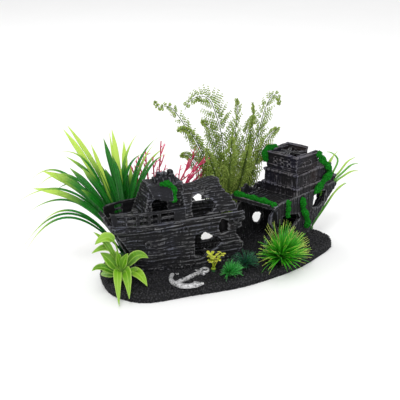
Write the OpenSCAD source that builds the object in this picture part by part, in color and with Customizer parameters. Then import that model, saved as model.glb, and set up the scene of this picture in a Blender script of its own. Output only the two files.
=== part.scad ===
// Aquarium ornament: a ship broken in two on a gravel base, with moulded moss, an anchor,
// an air stone in the hold and nine plug-in plastic plants.
// Millimetres. The origin is at the centre of the base's underside, +X runs along the base
// towards the stern, +Y towards the back and +Z up.

/* [Base] */
// Length of the gravel base
base_len = 322; // [300:1:345]
// Depth of the gravel base
base_dep = 145; // [135:1:155]
// Height of the base's rim
rim_h = 11; // [9:0.5:13]
// Height of the mound under the keels
mound_h = 19; // [17:0.5:21]

/* [Hull] */
// Thickness of the cast hull walls
wall = 4.5; // [4:0.5:6]
// Half-beam of the bow half at the rail
bow_half = 29; // [27:0.5:30]
// Height of the bow half's plank strake, where the openwork rail starts
strake_z = 82; // [80:1:83]
// Height of the bow rail's top
bow_rail_z = 98; // [96:1:100]
// Half-beam of the stern half
stern_half = 30; // [29:0.5:31]
// Turn of the stern half away from the bow half's line, in degrees
stern_turn = 24; // [20:1:26]
// Height of the stern half's deck
deck_z = 74; // [72:1:76]

/* [Castle] */
// Height of the quarterdeck house's top
house_z = 87; // [86:1:88]
// Height of the middle tier's top
mid_z = 105; // [103:1:106]
// Height of the top tier's rim
top_z = 129; // [127:1:131]
// Thickness of the castle's walls
castle_wall = 4; // [3.5:0.5:5]

/* [Plants] */
// Radius of the larger plants' plugs
plug_r = 3.5; // [3:0.1:4]
// Radius of the small plants' plugs
small_plug_r = 2.4; // [2:0.1:2.6]
// Radial clearance of a plug in its socket
socket_gap = 0.08; // [0.04:0.01:0.1]
// Depth of the sockets
socket_depth = 11; // [9:0.5:12]

/* [Air line] */
// Outer radius of the air inlet's spigot, for 4 mm bore airline
inlet_r = 2.5; // [2.2:0.1:2.6]
// Length of the inlet's spigot beyond the base
inlet_len = 12; // [10:1:14]
// Radius of the air stone
stone_r = 6; // [5:0.5:7]

/* [Hidden] */

resin = [0.11, 0.11, 0.12];
resin_pale = [0.17, 0.17, 0.18];
gravel = [0.06, 0.06, 0.06];
moss = [0.08, 0.50, 0.10];
steel_grey = [0.62, 0.63, 0.65];

// ---- number helpers -------------------------------------------------------------------
function lerp(a, b, t) = a + (b - a) * t;
function clamp01(t) = min(1, max(0, t));
function ease(t) = let (k = clamp01(t)) k * k * (3 - 2 * k);
// Repeatable unevenness between -1 and 1
function wob(i, k = 0) = sin(i * 97.3 + k * 61.7 + 31);
function curve(a, b, c, d, t) =
    0.5 * (2 * b + (c - a) * t + (2 * a - 5 * b + 4 * c - d) * t * t
        + (3 * b - 3 * c + d - a) * t * t * t);
// Smooth closed line through points, with s running 0..1 once around
function ring_at(pts, s) =
    let (n = len(pts), f = s * n, k = floor(f), t = f - k)
    curve(pts[(k + n - 1) % n], pts[k % n], pts[(k + 1) % n], pts[(k + 2) % n], t);
// Smooth open line through points, with s running 0..1 from end to end
function line_at(pts, s) =
    let (n = len(pts) - 1, f = clamp01(s) * n, k = min(n - 1, floor(f)), t = f - k)
    curve(pts[max(0, k - 1)], pts[k], pts[k + 1], pts[min(n, k + 2)], t);
function unit(v) = v / max(norm(v), 0.0001);

// ---- shape helpers --------------------------------------------------------------------
// Closed sheet between two faces, each a function of two parameters from 0 to 1.
// The near face looks towards -Y when the first parameter runs along +X and the second up.
module sheet(near, far, nu, nv) {
    n = nv + 1;
    half = (nu + 1) * n;
    function id(i, j, k) = k * half + i * n + j;
    pts = [
        for (k = [0, 1]) for (i = [0:nu]) for (j = [0:nv])
            k == 0 ? near(i / nu, j / nv) : far(i / nu, j / nv)
    ];
    faces = [
        for (i = [0:nu - 1]) for (j = [0:nv - 1]) each [
            [id(i, j, 0), id(i, j + 1, 0), id(i + 1, j + 1, 0)],
            [id(i, j, 0), id(i + 1, j + 1, 0), id(i + 1, j, 0)],
            [id(i, j, 1), id(i + 1, j, 1), id(i + 1, j + 1, 1)],
            [id(i, j, 1), id(i + 1, j + 1, 1), id(i, j + 1, 1)]
        ],
        for (i = [0:nu - 1]) each [
            [id(i, 0, 0), id(i + 1, 0, 0), id(i + 1, 0, 1)],
            [id(i, 0, 0), id(i + 1, 0, 1), id(i, 0, 1)],
            [id(i, nv, 0), id(i, nv, 1), id(i + 1, nv, 1)],
            [id(i, nv, 0), id(i + 1, nv, 1), id(i + 1, nv, 0)]
        ],
        for (j = [0:nv - 1]) each [
            [id(0, j, 0), id(0, j, 1), id(0, j + 1, 1)],
            [id(0, j, 0), id(0, j + 1, 1), id(0, j + 1, 0)],
            [id(nu, j, 0), id(nu, j + 1, 0), id(nu, j + 1, 1)],
            [id(nu, j, 0), id(nu, j + 1, 1), id(nu, j, 1)]
        ]
    ];
    polyhedron(pts, faces, convexity = 8);
}

// Strand with an n-sided section, of radius r(s), along the line p(s), s from 0 to 1.
// flat squeezes the section across the direction side, or gives its half-thickness there
// if it is a function.
module strand(p, r, steps, n = 4, flat = 1, side = [0, 0, 1]) {
    pts = [
        for (i = [0:steps])
            let (
                s = i / steps,
                c = p(s),
                t = unit(p(min(1, s + 0.02)) - p(max(0, s - 0.02))),
                a = unit(cross(t, side)),
                b = cross(t, a)
            )
            for (k = [0:n - 1])
                let (w = 360 * k / n, h = is_function(flat) ? flat(s) : flat * r(s))
                    c + r(s) * cos(w) * a + h * sin(w) * b
    ];
    faces = [
        [for (k = [0:n - 1]) k],
        [for (k = [n - 1:-1:0]) steps * n + k],
        for (i = [0:steps - 1]) for (k = [0:n - 1])
            let (k2 = (k + 1) % n) each [
                [i * n + k, (i + 1) * n + k, (i + 1) * n + k2],
                [i * n + k, (i + 1) * n + k2, i * n + k2]
            ]
    ];
    polyhedron(pts, faces, convexity = 6);
}

// Squared timber from a to b, w wide and h deep, turned about its own line
module timber(a, b, w, h, roll = 0) {
    d = b - a;
    translate(a)
        rotate([0, acos(unit(d)[2]), atan2(d[1], d[0])])
            rotate([0, 0, roll])
                translate([-h / 2, -w / 2, 0])
                    cube([h, w, norm(d)]);
}

// Outline on the X-Z plane pushed along Y, for cutting ragged holes in a wall
module cut_xz(pts, y0, y1) {
    translate([0, y1, 0])
        rotate([90, 0, 0])
            linear_extrude(y1 - y0)
                polygon(pts);
}

// Ragged hole: an ellipse whose edge wanders
function ragged(cx, cz, rx, rz, n, k, rough = 0.22) = [
    for (i = [0:n - 1])
        let (w = 360 * i / n, f = 1 + rough * wob(i, k))
        [cx + rx * f * cos(w), cz + rz * f * sin(w)]
];

// ---- base -----------------------------------------------------------------------------
// Outline as shares of the half-length and the half-depth, from the bow's end round the front
base_outline = [
    [-1.00, -0.12], [-0.96, -0.55], [-0.80, -0.90], [-0.45, -0.95], [-0.10, -1.00],
    [0.22, -0.89], [0.50, -0.71], [0.74, -0.44], [0.95, -0.13], [1.00, 0.20],
    [0.93, 0.55], [0.68, 0.88], [0.34, 0.97], [0.10, 0.86], [-0.08, 0.42],
    [-0.22, 0.62], [-0.42, 0.98], [-0.70, 0.96], [-0.93, 0.55]
];
keel_from = -100;
keel_to = 105;
base_ring = 64;
// Share of the way out to the outline and share of the mound's height, ring by ring
base_rings = [[1, 0], [1.0, 0.62], [0.975, 0.92], [0.93, 1.02], [0.72, 1.2], [0.42, 1.6], [0.2, 1.72]];
function keel_y(x) = lerp(-3, 22, ease((x + 10) / 130));
function base_edge(s) =
    let (p = ring_at(base_outline, s)) [p[0] * base_len / 2, p[1] * base_dep / 2];
function base_pt(s, k) =
    let (
        e = base_edge(s),
        x = min(keel_to, max(keel_from, e[0])),
        c = [x * 0.92, keel_y(x)],
        f = base_rings[k][0] * (1 + (k > 0 && k < 4 ? 0.008 * wob(s * base_ring, k) : 0)),
        h = k == 0 ? 0 : min(mound_h, base_rings[k][1] * rim_h)
    )
    [lerp(c[0], e[0], f), lerp(c[1], e[1], f), h + (k > 1 ? 0.6 * wob(s * base_ring * 2, k + 3) : 0)];

module base_body() {
    rings = len(base_rings) - 1;
    pts = [for (k = [0:rings]) for (i = [0:base_ring - 1]) base_pt(i / base_ring, k)];
    function id(k, i) = k * base_ring + i % base_ring;
    faces = [
        [for (i = [0:base_ring - 1]) id(0, i)],
        for (k = [0:rings - 1]) for (i = [0:base_ring - 1]) each [
            [id(k, i), id(k + 1, i), id(k + 1, i + 1)],
            [id(k, i), id(k + 1, i + 1), id(k, i + 1)]
        ],
        // The crown is closed across its ring, side to side along the keel
        for (i = [0:base_ring / 2 - 2]) each [
            [id(rings, i), id(rings, base_ring - 1 - i), id(rings, i + 1)],
            [id(rings, i + 1), id(rings, base_ring - 1 - i), id(rings, base_ring - 2 - i)]
        ]
    ];
    polyhedron(pts, faces, convexity = 10);
}

// Plants: the place where each one's socket meets the base's top
tall_grass_at = [-118, 44, 12];
broad_leaf_at = [-146, -22, 12];
coral_at = [-70, 56, 12];
fern_at = [34, 60, 12];
grass_ball_at = [59, -44, 13];
green_tuft_at = [-20, -58, 12];
yellow_sprig_at = [-34, -43, 14];
dark_tuft_at = [7, -46, 14];
rear_sprig_at = [147, 33, 10];
rear_lean = 28;
large_plants = [tall_grass_at, coral_at, fern_at];
small_plants = [broad_leaf_at, grass_ball_at, green_tuft_at, yellow_sprig_at, dark_tuft_at];

module socket(at, r) {
    translate([at[0], at[1], at[2] - socket_depth])
        cylinder(r = r + socket_gap, h = socket_depth + 30, $fn = 48);
}

// The rear sprig's socket leans aft, clear of the overhanging stern
module rear_tilt() {
    translate(rear_sprig_at)
        rotate([0, rear_lean, stern_turn])
            children();
}

// The air line runs in from the back edge, at this place along the base
air_x = -46;
air_back = 48;

module base_plinth() {
    color(gravel)
        difference() {
            base_body();
            for (at = large_plants)
                socket(at, plug_r);
            for (at = small_plants)
                socket(at, small_plug_r);
            rear_tilt()
                translate([0, 0, -6])
                    cylinder(r = small_plug_r + socket_gap, h = 30, $fn = 48);
            // Air passage, wider where the inlet is pushed in
            translate([air_x, air_y, air_run_z]) {
                rotate([-90, 0, 0]) cylinder(r = 2.45, h = 60, $fn = 48);
                cylinder(r = 2.45, h = 40, $fn = 48);
                sphere(r = 2.45, $fn = 48);
            }
            translate([air_x, air_back - 1.55, air_run_z])
                rotate([-90, 0, 0]) cylinder(r = inlet_r + 1.4, h = 40, $fn = 48);
        }
}

// ---- bow half -------------------------------------------------------------------------
bow_y = -3;
bow_foot_x = -122;
bow_rake = 35;
bow_break = 8;
hull_z0 = 14;
// Where the stem's line is at height z
function stem_x(z) = bow_foot_x - bow_rake * pow(clamp01((z - 18) / (strake_z - 18)), 1.5);
// Half-beam of the bow half at a place on its length and a height
function bow_beam(x, z) =
    let (
        top = lerp(8.5, bow_half, sqrt(1 - pow(1 - clamp01((x - stem_x(strake_z)) / 58), 2))),
        low = lerp(2.5, bow_half - 5, sqrt(1 - pow(1 - clamp01((x - bow_foot_x) / 70), 2)))
    )
    lerp(low, top, pow(clamp01((z - hull_z0) / (strake_z - hull_z0)), 0.65));
// Broken end of the bow half's planks, in steps
function bow_end(z) = bow_break + 5.5 * wob(floor(z / 9.7), 2);
function bow_side(u, v, side, z0, z1, inset) =
    let (
        z = lerp(z0, z1, v),
        zs = min(z, strake_z),
        x = lerp(stem_x(zs) + (z - zs) * -0.15, bow_end(z), u)
    )
    [x, bow_y + side * max(0.6, bow_beam(x, zs) - inset), z];

module bow_side_sheet(side, z0, z1, nu, nv) {
    if (side < 0)
        sheet(
            function(u, v) bow_side(u, v, side, z0, z1, 0),
            function(u, v) bow_side(u, v, side, z0, z1, wall), nu, nv);
    else
        sheet(
            function(u, v) bow_side(u, v, side, z0, z1, wall),
            function(u, v) bow_side(u, v, side, z0, z1, 0), nu, nv);
}

module bow_hull_port() {
    color(resin)
        difference() {
            bow_side_sheet(-1, hull_z0, strake_z, 20, 14);
            cut_xz(ragged(-38, 46, 18, 16, 11, 1), -50, -8);
            cut_xz(ragged(-15, 66, 9, 9, 7, 4), -50, -8);
        }
}

module bow_hull_starboard() {
    color(resin)
        difference() {
            bow_side_sheet(1, hull_z0, strake_z, 20, 14);
            cut_xz(ragged(-12, 34, 13, 5.5, 9, 3), 5, 50);
            cut_xz([[-32, hull_z0 - 1], [-30, 16.5], [-18, 18], [-4, 16], [-2, hull_z0 - 1]], 5, 50);
        }
}

// Flat bow plate, standing where the two sides meet
stem_top = bow_rail_z - 4;
module stem_post() {
    color(resin_pale) {
        low = [stem_x(66), bow_y, 66];
        up = [stem_x(strake_z) - 3, bow_y, stem_top];
        timber(low, up, 17, 5);
        timber([bow_foot_x + 1, bow_y, hull_z0 + 2], [stem_x(44), bow_y, 44], 7, 6);
        timber([stem_x(44), bow_y, 43], [stem_x(67) + 1, bow_y, 68], 8, 6);
    }
}

bow_deck_z = 76;
bow_deck_end = -57;
module bow_deck() {
    function edge(u, side) =
        let (x = lerp(stem_x(bow_deck_z) + 4, bow_deck_end, u))
        [x, bow_y + side * (bow_beam(x, bow_deck_z) - wall - 0.05), 0];
    color(resin)
        translate([0, 0, bow_deck_z - 4])
            linear_extrude(4)
                polygon([
                    for (i = [0:10]) let (e = edge(i / 10, -1)) [e[0], e[1]],
                    for (i = [10:-1:0]) let (e = edge(i / 10, 1)) [e[0], e[1]]
                ]);
}

// Openwork rail: a curved strip with two rows of gaps between its posts
rail_from = 0.03;
rail_to = 0.56;
function rail_pt(u, v, side, inset) =
    let (
        s = lerp(rail_from, rail_to, u),
        z = lerp(strake_z, bow_rail_z, v),
        x = lerp(stem_x(strake_z) - v * 2.5, bow_break, s)
    )
    [x, bow_y + side * (bow_beam(x, strake_z) - inset), z];
module rail(side, gaps) {
    difference() {
        if (side < 0)
            sheet(
                function(u, v) rail_pt(u, v, side, 0),
                function(u, v) rail_pt(u, v, side, 3.5), 14, 2);
        else
            sheet(
                function(u, v) rail_pt(u, v, side, 3.5),
                function(u, v) rail_pt(u, v, side, 0), 14, 2);
        for (g = gaps)
            for (row = [0, 1])
                translate([g[0], bow_y + side * 40 - 25, strake_z + 1.5 + row * 7])
                    cube([g[1], 50, 4.3]);
    }
}
rail_gaps = [[-148, 9], [-137, 10], [-123, 10], [-110, 9], [-97, 17]];
module bow_rail_port() {
    color(resin) rail(-1, rail_gaps);
}
module bow_rail_starboard() {
    color(resin) rail(1, [rail_gaps[1], rail_gaps[3]]);
}

// Rub strake along the port side's top, which runs on past the rail to the break
function wale_pt(s) =
    let (x = lerp(stem_x(strake_z) + 6, bow_break + 3, s))
    [x, bow_y - bow_beam(x, strake_z) - 0.6, strake_z - 4 + 3 * ease(s * 1.3 - 0.3)];
module bow_wale() {
    color(resin_pale)
        strand(function(s) wale_pt(s), function(s) 4.2 + 0.5 * wob(floor(s * 14), 5), 14, 4, 0.45);
}

cabin_x0 = -119;
cabin_x1 = -60;
cabin_top = 125;
// Cabin outline at a height, narrower towards its roof
function cabin_in(z) = 11 * ease((z - bow_deck_z) / (cabin_top - bow_deck_z));
module cabin_block(grow, z0, z1) {
    hull()
        for (z = [z0, z1])
            translate([0, 0, z - (z > z0 ? 0.1 : 0)])
                linear_extrude(0.1)
                    polygon([
                        [cabin_x0 + cabin_in(z) * 1.4 - grow, bow_y - 23 + cabin_in(z) - grow],
                        [cabin_x1 - cabin_in(z) * 0.2 + grow, bow_y - 23 + cabin_in(z) - grow],
                        [cabin_x1 - cabin_in(z) * 0.2 + grow, bow_y + 22 - cabin_in(z) * 0.6 + grow],
                        [cabin_x0 + cabin_in(z) * 1.4 - grow, bow_y + 22 - cabin_in(z) * 0.6 + grow]
                    ]);
}
door_x = -94;
door_w = 20;
door_h = 34;
module forecastle_cabin() {
    color(resin)
        difference() {
            cabin_block(0, bow_deck_z, cabin_top);
            cabin_block(-wall, bow_deck_z + 4, cabin_top - 5);
            // Arched door in the port wall
            translate([door_x - door_w / 2, -60, bow_deck_z + 4])
                cube([door_w, 58, door_h - door_w / 2 - 4]);
            translate([door_x, -2, bow_deck_z + door_h - door_w / 2])
                rotate([90, 0, 0])
                    cylinder(d = door_w, h = 58, $fn = 32);
            // Way through to the hold
            translate([cabin_x1 - 12, bow_y - 8, bow_deck_z + 4])
                cube([24, 18, 26]);
        }
}

// Lean-to slab over the door
module cabin_eave() {
    color(resin_pale)
        hull() {
            translate([-107, bow_y - 13, cabin_top - 4]) cube([30, 3, 4]);
            translate([-106, bow_y - 27, 114]) cube([8, 3, 3.5]);
            translate([-88, bow_y - 27, 108]) cube([8, 3, 3.5]);
        }
}

// Splintered foot of the foremast, on the cabin's roof
module mast_stump() {
    color(resin)
        translate([-79, bow_y + 1, cabin_top - 0.05]) {
            difference() {
                union() {
                    cylinder(r1 = 14, r2 = 11, h = 7, $fn = 9);
                    for (i = [0:4])
                        rotate([0, 0, i * 72 + 20])
                            translate([5.5, -3, 6])
                                cube([5, 6.5, 4 + 3 * wob(i, 8)]);
                    translate([-16, -5, 0]) cube([10, 9, 5]);
                }
                translate([0, 0, 4]) cylinder(r = 5, h = 12, $fn = 24);
            }
        }
}

// Broken upper wall and roof amidships, curving over from the port side to starboard
roof_x0 = -66;
function roof_end(v) = lerp(2, -14, sin(180 * clamp01(v * 1.08))) + 2.5 * wob(floor(v * 9), 6);
function roof_pt(u, v, inset) =
    let (
        w = 180 * v,
        x = lerp(roof_x0, roof_end(v), u),
        dip = 4 * sin(180 * clamp01(u * 1.3)) * (v > 0.3 && v < 0.8 ? 1 : 0)
    )
    [x, bow_y - (bow_half - 1 - inset) * sign(cos(w)) * pow(abs(cos(w)), 0.75),
        84 + (36 - inset - dip) * pow(abs(sin(w)), 0.8) * (0.93 + 0.07 * u)];
module midship_roof() {
    color(resin)
        difference() {
            sheet(
                function(u, v) roof_pt(u, v, 0),
                function(u, v) roof_pt(u, v, wall), 10, 18);
            // Ragged opening in the port slope
            cut_xz(ragged(-43, 95, 16, 14, 11, 7, 0.18), -60, -6);
            cut_xz(ragged(-27, 90, 8, 7, 7, 9, 0.2), 5, 60);
        }
}

module rail_bitt() {
    color(resin_pale)
        translate([-128, bow_y - bow_beam(-128, strake_z) + 1.5, bow_rail_z + 0.05]) {
            cylinder(r = 4, h = 3, $fn = 24);
            translate([0, 0, 3]) sphere(r = 4.2, $fn = 24);
        }
}

// Cast ring around a port, standing off the wall
module porthole(at, turn, r) {
    color(resin_pale)
        translate(at)
            rotate([0, 0, turn])
                rotate([90, 0, 0])
                    translate([0, 0, -1.5])
                        difference() {
                            cylinder(r = r, h = 3.5, $fn = 32);
                            translate([0, 0, 1.5]) cylinder(r = r * 0.5, h = 4, $fn = 24);
                        }
}
module porthole_bow() {
    porthole([-112, bow_y - bow_beam(-112, 57), 57], -6, 4.5);
}
module porthole_mid() {
    porthole([-66, bow_y - bow_beam(-66, 71), 71], 0, 3.8);
}
module porthole_roof() {
    porthole([-33, -19, 112], 0, 4);
}
module porthole_break() {
    porthole([1, bow_y - bow_beam(1, 72), 72], 0, 4);
}

// ---- stern half -----------------------------------------------------------------------
// Its own line: u runs aft from the break, v to starboard and z up
stern_x = 46;
stern_y = 4;
module at_stern() {
    translate([stern_x, stern_y, 0])
        rotate([0, 0, stern_turn])
            children();
}
counter_z = deck_z - 4;
side_top = 77;
castle_u = 50;
castle_aft = 138;
// Raked line of the stern, overhanging the foot
function aft_u(z) = 84 + 56 * pow(clamp01((z - 12) / (counter_z - 12)), 1.6);
function stern_end(z) = lerp(-13, 1, (z - 12) / (side_top - 12)) + 3.5 * wob(floor(z / 8.3), 11);
function stern_side(u, v, side, inset) =
    let (z = lerp(10, side_top, v))
    [
        lerp(stern_end(z), aft_u(z), u),
        side * (stern_half - 3 + 3 * clamp01((z - 10) / 30) - inset - 6 * pow(clamp01(u - 0.75) * 4, 2) * clamp01((40 - z) / 30)),
        z
    ];

module stern_hull_port() {
    color(resin)
        at_stern()
            difference() {
                sheet(
                    function(u, v) stern_side(u, v, -1, 0),
                    function(u, v) stern_side(u, v, -1, wall), 16, 12);
                // Cavity under the fore end, and the stern port
                cut_xz(ragged(30, 46, 24, 13, 11, 12, 0.16), -50, -5);
                cut_xz([[84, 53], [88, 69], [104, 72], [116, 69], [112, 55], [100, 49]], -50, -5);
            }
}
module stern_hull_starboard() {
    color(resin)
        at_stern()
            difference() {
                sheet(
                    function(u, v) stern_side(u, v, 1, wall),
                    function(u, v) stern_side(u, v, 1, 0), 16, 12);
                cut_xz(ragged(38, 39, 11, 8, 9, 13, 0.18), 5, 50);
            }
}

// Raked stern, open at its middle
module stern_transom() {
    half = stern_half - wall - 0.1;
    color(resin)
        at_stern()
            difference() {
                sheet(
                    function(u, v) let (z = lerp(10, side_top - 8, v)) [aft_u(z) - 0.3, lerp(-half, half, u), z],
                    function(u, v) let (z = lerp(10, side_top - 8, v)) [aft_u(z) - 6, lerp(-half, half, u), z],
                    6, 12);
                rotate([0, 0, 90])
                    cut_xz(ragged(-4, 52, 14, 9, 9, 15, 0.15), -150, -80);
            }
}

module stern_deck() {
    color(resin)
        at_stern()
            difference() {
                translate([3, -stern_half + wall + 0.1, counter_z])
                    cube([castle_aft - 6, 2 * (stern_half - wall - 0.1), 4]);
                // Broken planks at the fore edge
                for (i = [0:3])
                    translate([-1, -22 + 12 * i, counter_z - 1])
                        cube([7 + 3 * wob(i, 16), 6, 6]);
            }
}

// Beam across the broken edge of the deck
module deck_beam() {
    color(resin_pale)
        at_stern() {
            translate([-3, -stern_half - 4, side_top - 4])
                cube([7, 2 * stern_half + 12, 5.5]);
        }
}

// Broken frames that stand out of the break
module stern_rib() {
    color(resin)
        at_stern() {
            timber([8, -stern_half - 2.5, 52], [3, -stern_half - 2.5, side_top - 4.1], 6, 9);
            timber([4, -stern_half - 2.5, 58], [13, -stern_half - 2.5, 60], 5, 6);
        }
}

module stern_bulwark() {
    function top(u) = 83 + 7 * wob(floor(u * 6), 17) * 0.6 + 5 * (1 - u);
    color(resin)
        at_stern()
            sheet(
                function(u, v) [lerp(6, castle_u - 0.1, u), stern_half - wall, lerp(side_top + 1.6, top(u), v)],
                function(u, v) [lerp(6, castle_u - 0.1, u), stern_half - 0.5, lerp(side_top + 1.6, top(u), v)],
                12, 1);
}

// Hollow box of four walls and a roof; flare widens its top by that much
module tier(u0, u1, v0, v1, z0, z1, flare, roof) {
    module ring(grow0, grow1, za, zb) {
        hull() {
            translate([u0 - grow0, v0 - grow0, za])
                cube([u1 - u0 + 2 * grow0, v1 - v0 + 2 * grow0, 0.1]);
            translate([u0 - grow1, v0 - grow1, zb - 0.1])
                cube([u1 - u0 + 2 * grow1, v1 - v0 + 2 * grow1, 0.1]);
        }
    }
    difference() {
        ring(0, flare, z0, z1);
        ring(-castle_wall, flare - castle_wall, z0 - (roof ? 0.01 : -4), z1 + (roof ? -4 : 0.01));
    }
    // Rim ledge
    difference() {
        ring(flare + 1.2, flare + 1.2, z1 - 2.6, z1);
        ring(flare - castle_wall, flare - castle_wall, z1 - 3, z1 + 1);
    }
}
module quarterdeck_house() {
    color(resin)
        at_stern()
            tier(castle_u, castle_aft, -stern_half + 1.6, stern_half - 1.6, counter_z + 4.05, house_z, 0, true);
}
module castle_mid_tier() {
    color(resin)
        at_stern()
            tier(castle_u + 0.6, castle_aft - 11, -stern_half + 3, stern_half - 5, house_z + 0.05, mid_z, 0, true);
}
module castle_top_tier() {
    color(resin)
        at_stern()
            difference() {
                tier(castle_u + 2, castle_u + 48, -stern_half + 5, stern_half - 7, mid_z + 0.05, top_z, 2, false);
                // Broken away at the aft port corner
                cut_xz([[96, top_z + 1], [92, top_z - 6], [103, top_z - 12], [110, top_z + 1]], -40, -8);
            }
}
// Fallen planks crossed inside the open top
module castle_beams() {
    z = top_z - 3.5;
    color(resin_pale)
        at_stern() {
            timber([castle_u + 7, -6, z], [castle_u + 41, 14, z - 1], 4.5, 3);
            timber([castle_u + 8, 12, z], [castle_u + 40, -12, z - 1], 4.5, 3.5);
            timber([castle_u + 24, -18, z - 0.5], [castle_u + 24, 16, z - 0.5], 4, 3);
        }
}

// ---- anchor ---------------------------------------------------------------------------
anchor_crown = [-90, -57, 14];
anchor_ring = [-45, -41, 17];
module anchor() {
    d = anchor_ring - anchor_crown;
    way = atan2(d[1], d[0]);
    shank = norm(d);
    color(steel_grey)
        translate(anchor_crown)
            rotate([0, -atan2(d[2], norm([d[0], d[1]])), way]) {
                rotate([0, 90, 0]) cylinder(r1 = 3.2, r2 = 2.4, h = shank - 5, $fn = 24);
                // Curved arms, with a pointed fluke at each end
                intersection() {
                    translate([21, 0, 0])
                        rotate_extrude($fn = 64) translate([21, 0]) circle(r = 3.2, $fn = 20);
                    translate([-6, -30, -6]) cube([20, 60, 12]);
                }
                for (side = [-1, 1])
                    hull() {
                        translate([13, side * 19.5, -2]) cylinder(r = 3, h = 4, $fn = 32);
                        translate([23, side * 24, -1]) cylinder(r = 0.8, h = 2, $fn = 32);
                        translate([18, side * 14.5, -1.5]) cylinder(r = 1, h = 3, $fn = 32);
                    }
                // Stock and ring
                translate([shank - 9, -8, -1.6]) cube([3, 16, 3.2]);
                translate([shank, 0, 0])
                    rotate_extrude($fn = 48) translate([4.6, 0]) circle(r = 1.7, $fn = 20);
            }
}

// ---- moss -----------------------------------------------------------------------------
// Lumpy run of moss through points, w wide
module moss_run(pts, w, steps, k) {
    color(moss)
        for (i = [0:steps - 1]) {
            a = line_at(pts, i / steps);
            b = line_at(pts, (i + 1) / steps);
            hull() {
                translate(a) scale(1) sphere(r = w * (1 + 0.25 * wob(i, k)), $fn = 7);
                translate(b) sphere(r = w * (1 + 0.25 * wob(i + 1, k)), $fn = 7);
            }
        }
}
function from_stern(u, v, z) = [
    stern_x + u * cos(stern_turn) - v * sin(stern_turn),
    stern_y + u * sin(stern_turn) + v * cos(stern_turn),
    z
];
module moss_cabin() {
    moss_run([[-89, bow_y - 13, 125], [-79, bow_y - 14, 123], [-76, bow_y - 17, 117],
        [-77, bow_y - 20, 108]], 4, 9, 21);
}
module moss_beam() {
    moss_run([from_stern(0, stern_half + 4, side_top + 3), from_stern(1, 10, side_top + 3),
        from_stern(1, -8, side_top + 3.5), from_stern(0, -stern_half, side_top + 3)], 3.4, 12, 22);
}
module moss_hull() {
    v = -stern_half - 1.5;
    moss_run([from_stern(60, v, 70), from_stern(61, v, 58), from_stern(70, v, 44),
        from_stern(72, v, 32)], 4.2, 9, 23);
}
module moss_port() {
    v = -stern_half - 1.5;
    moss_run([from_stern(28, v, 75), from_stern(27, v, 59)], 3.2, 8, 24);
}
module moss_garland() {
    moss_run([from_stern(96, -stern_half + 2, top_z - 5), from_stern(103, -stern_half + 1, 115),
        from_stern(116, -stern_half + 1, 104), from_stern(121, -stern_half, 92),
        from_stern(104, -stern_half - 1, 84), from_stern(88, -stern_half - 1, 74)], 4.2, 16, 25);
}
module moss_rim() {
    moss_run([from_stern(castle_u + 20, stern_half - 6, top_z + 1), from_stern(castle_u, stern_half - 6, top_z),
        from_stern(castle_u - 1, stern_half - 7, top_z - 12)], 4, 9, 26);
}

// ---- air line inside the casting ------------------------------------------------------
air_run_z = 5.6;
air_y = 4;
module air_inlet() {
    color([0.75, 0.78, 0.8])
        translate([air_x, air_back, air_run_z])
            rotate([-90, 0, 0])
                difference() {
                    union() {
                        cylinder(r = inlet_r, h = inlet_len, $fn = 48);
                        translate([0, 0, -1.5]) cylinder(r = inlet_r + 1.3, h = 1.5, $fn = 48);
                        translate([0, 0, -8]) cylinder(r = inlet_r - 0.1, h = 6.6, $fn = 48);
                    }
                    translate([0, 0, -9]) cylinder(r = 1.2, h = inlet_len + 10, $fn = 32);
                }
}
module air_tube() {
    color([0.8, 0.85, 0.85])
        difference() {
            union() {
                translate([air_x, air_y, air_run_z])
                    rotate([-90, 0, 0]) cylinder(r = 2.4, h = air_back - air_y - 8.05, $fn = 48);
                translate([air_x, air_y, air_run_z])
                    cylinder(r = 2.4, h = mound_h - air_run_z + 3, $fn = 48);
                translate([air_x, air_y, air_run_z]) sphere(r = 2.4, $fn = 48);
            }
            translate([air_x, air_y, air_run_z])
                rotate([-90, 0, 0]) cylinder(r = 1.2, h = 100, $fn = 32);
            translate([air_x, air_y, air_run_z]) cylinder(r = 1.2, h = 40, $fn = 32);
        }
}
module air_stone() {
    color([0.35, 0.45, 0.62])
        translate([air_x, air_y, mound_h + 3.05]) {
            cylinder(r = stone_r, h = 14, $fn = 48);
            translate([0, 0, 14]) cylinder(r1 = stone_r, r2 = stone_r - 1.5, h = 1.5, $fn = 48);
        }
}

// ---- plants ---------------------------------------------------------------------------
module plug(at, r) {
    color([0.10, 0.30, 0.10])
        translate([at[0], at[1], at[2] - socket_depth + 0.4])
            cylinder(r = r, h = socket_depth + 3, $fn = 48);
}
// Moulded crown that holds the leaves, on top of the plug: a button with short sheaths
sheaths = 8;
module crown(at, r, h) {
    translate([at[0], at[1], at[2] + 3.4]) cylinder(r = r, h = h * 0.6, $fn = 14);
    for (i = [0:sheaths - 1]) {
        way = 360 * i / sheaths + 9 + 5 * wob(i, 27);
        hull() {
            translate([at[0] + r * 0.45 * cos(way), at[1] + r * 0.45 * sin(way), at[2] + 3.9])
                cylinder(r = r * 0.3, h = 0.8, $fn = 7);
            translate([at[0] + r * 0.7 * cos(way), at[1] + r * 0.7 * sin(way), at[2] + 3.4 + h])
                cylinder(r = r * 0.2, h = 0.5, $fn = 6);
        }
    }
}
// Where a leaf leaves its crown: just inside the surface, the way that it leans
function at_crown(at, r, h, lean, way) =
    at + [r * sin(lean) * cos(way), r * sin(lean) * sin(way), 3.4 + h * (0.15 + 0.4 * cos(lean))];
// A leaf's line: out of the crown at a lean (degrees from upright) along way, drooping to its tip
leaf_floor = 3;
function leaf_at(root, len, lean, way, droop, s) =
    let (
        w = lean + droop * s,
        r = len * s * sin(lean + droop * s * 0.6),
        h = max(leaf_floor - root[2], len * s * cos(w))
    )
    root + [r * cos(way), r * sin(way), h];
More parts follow.
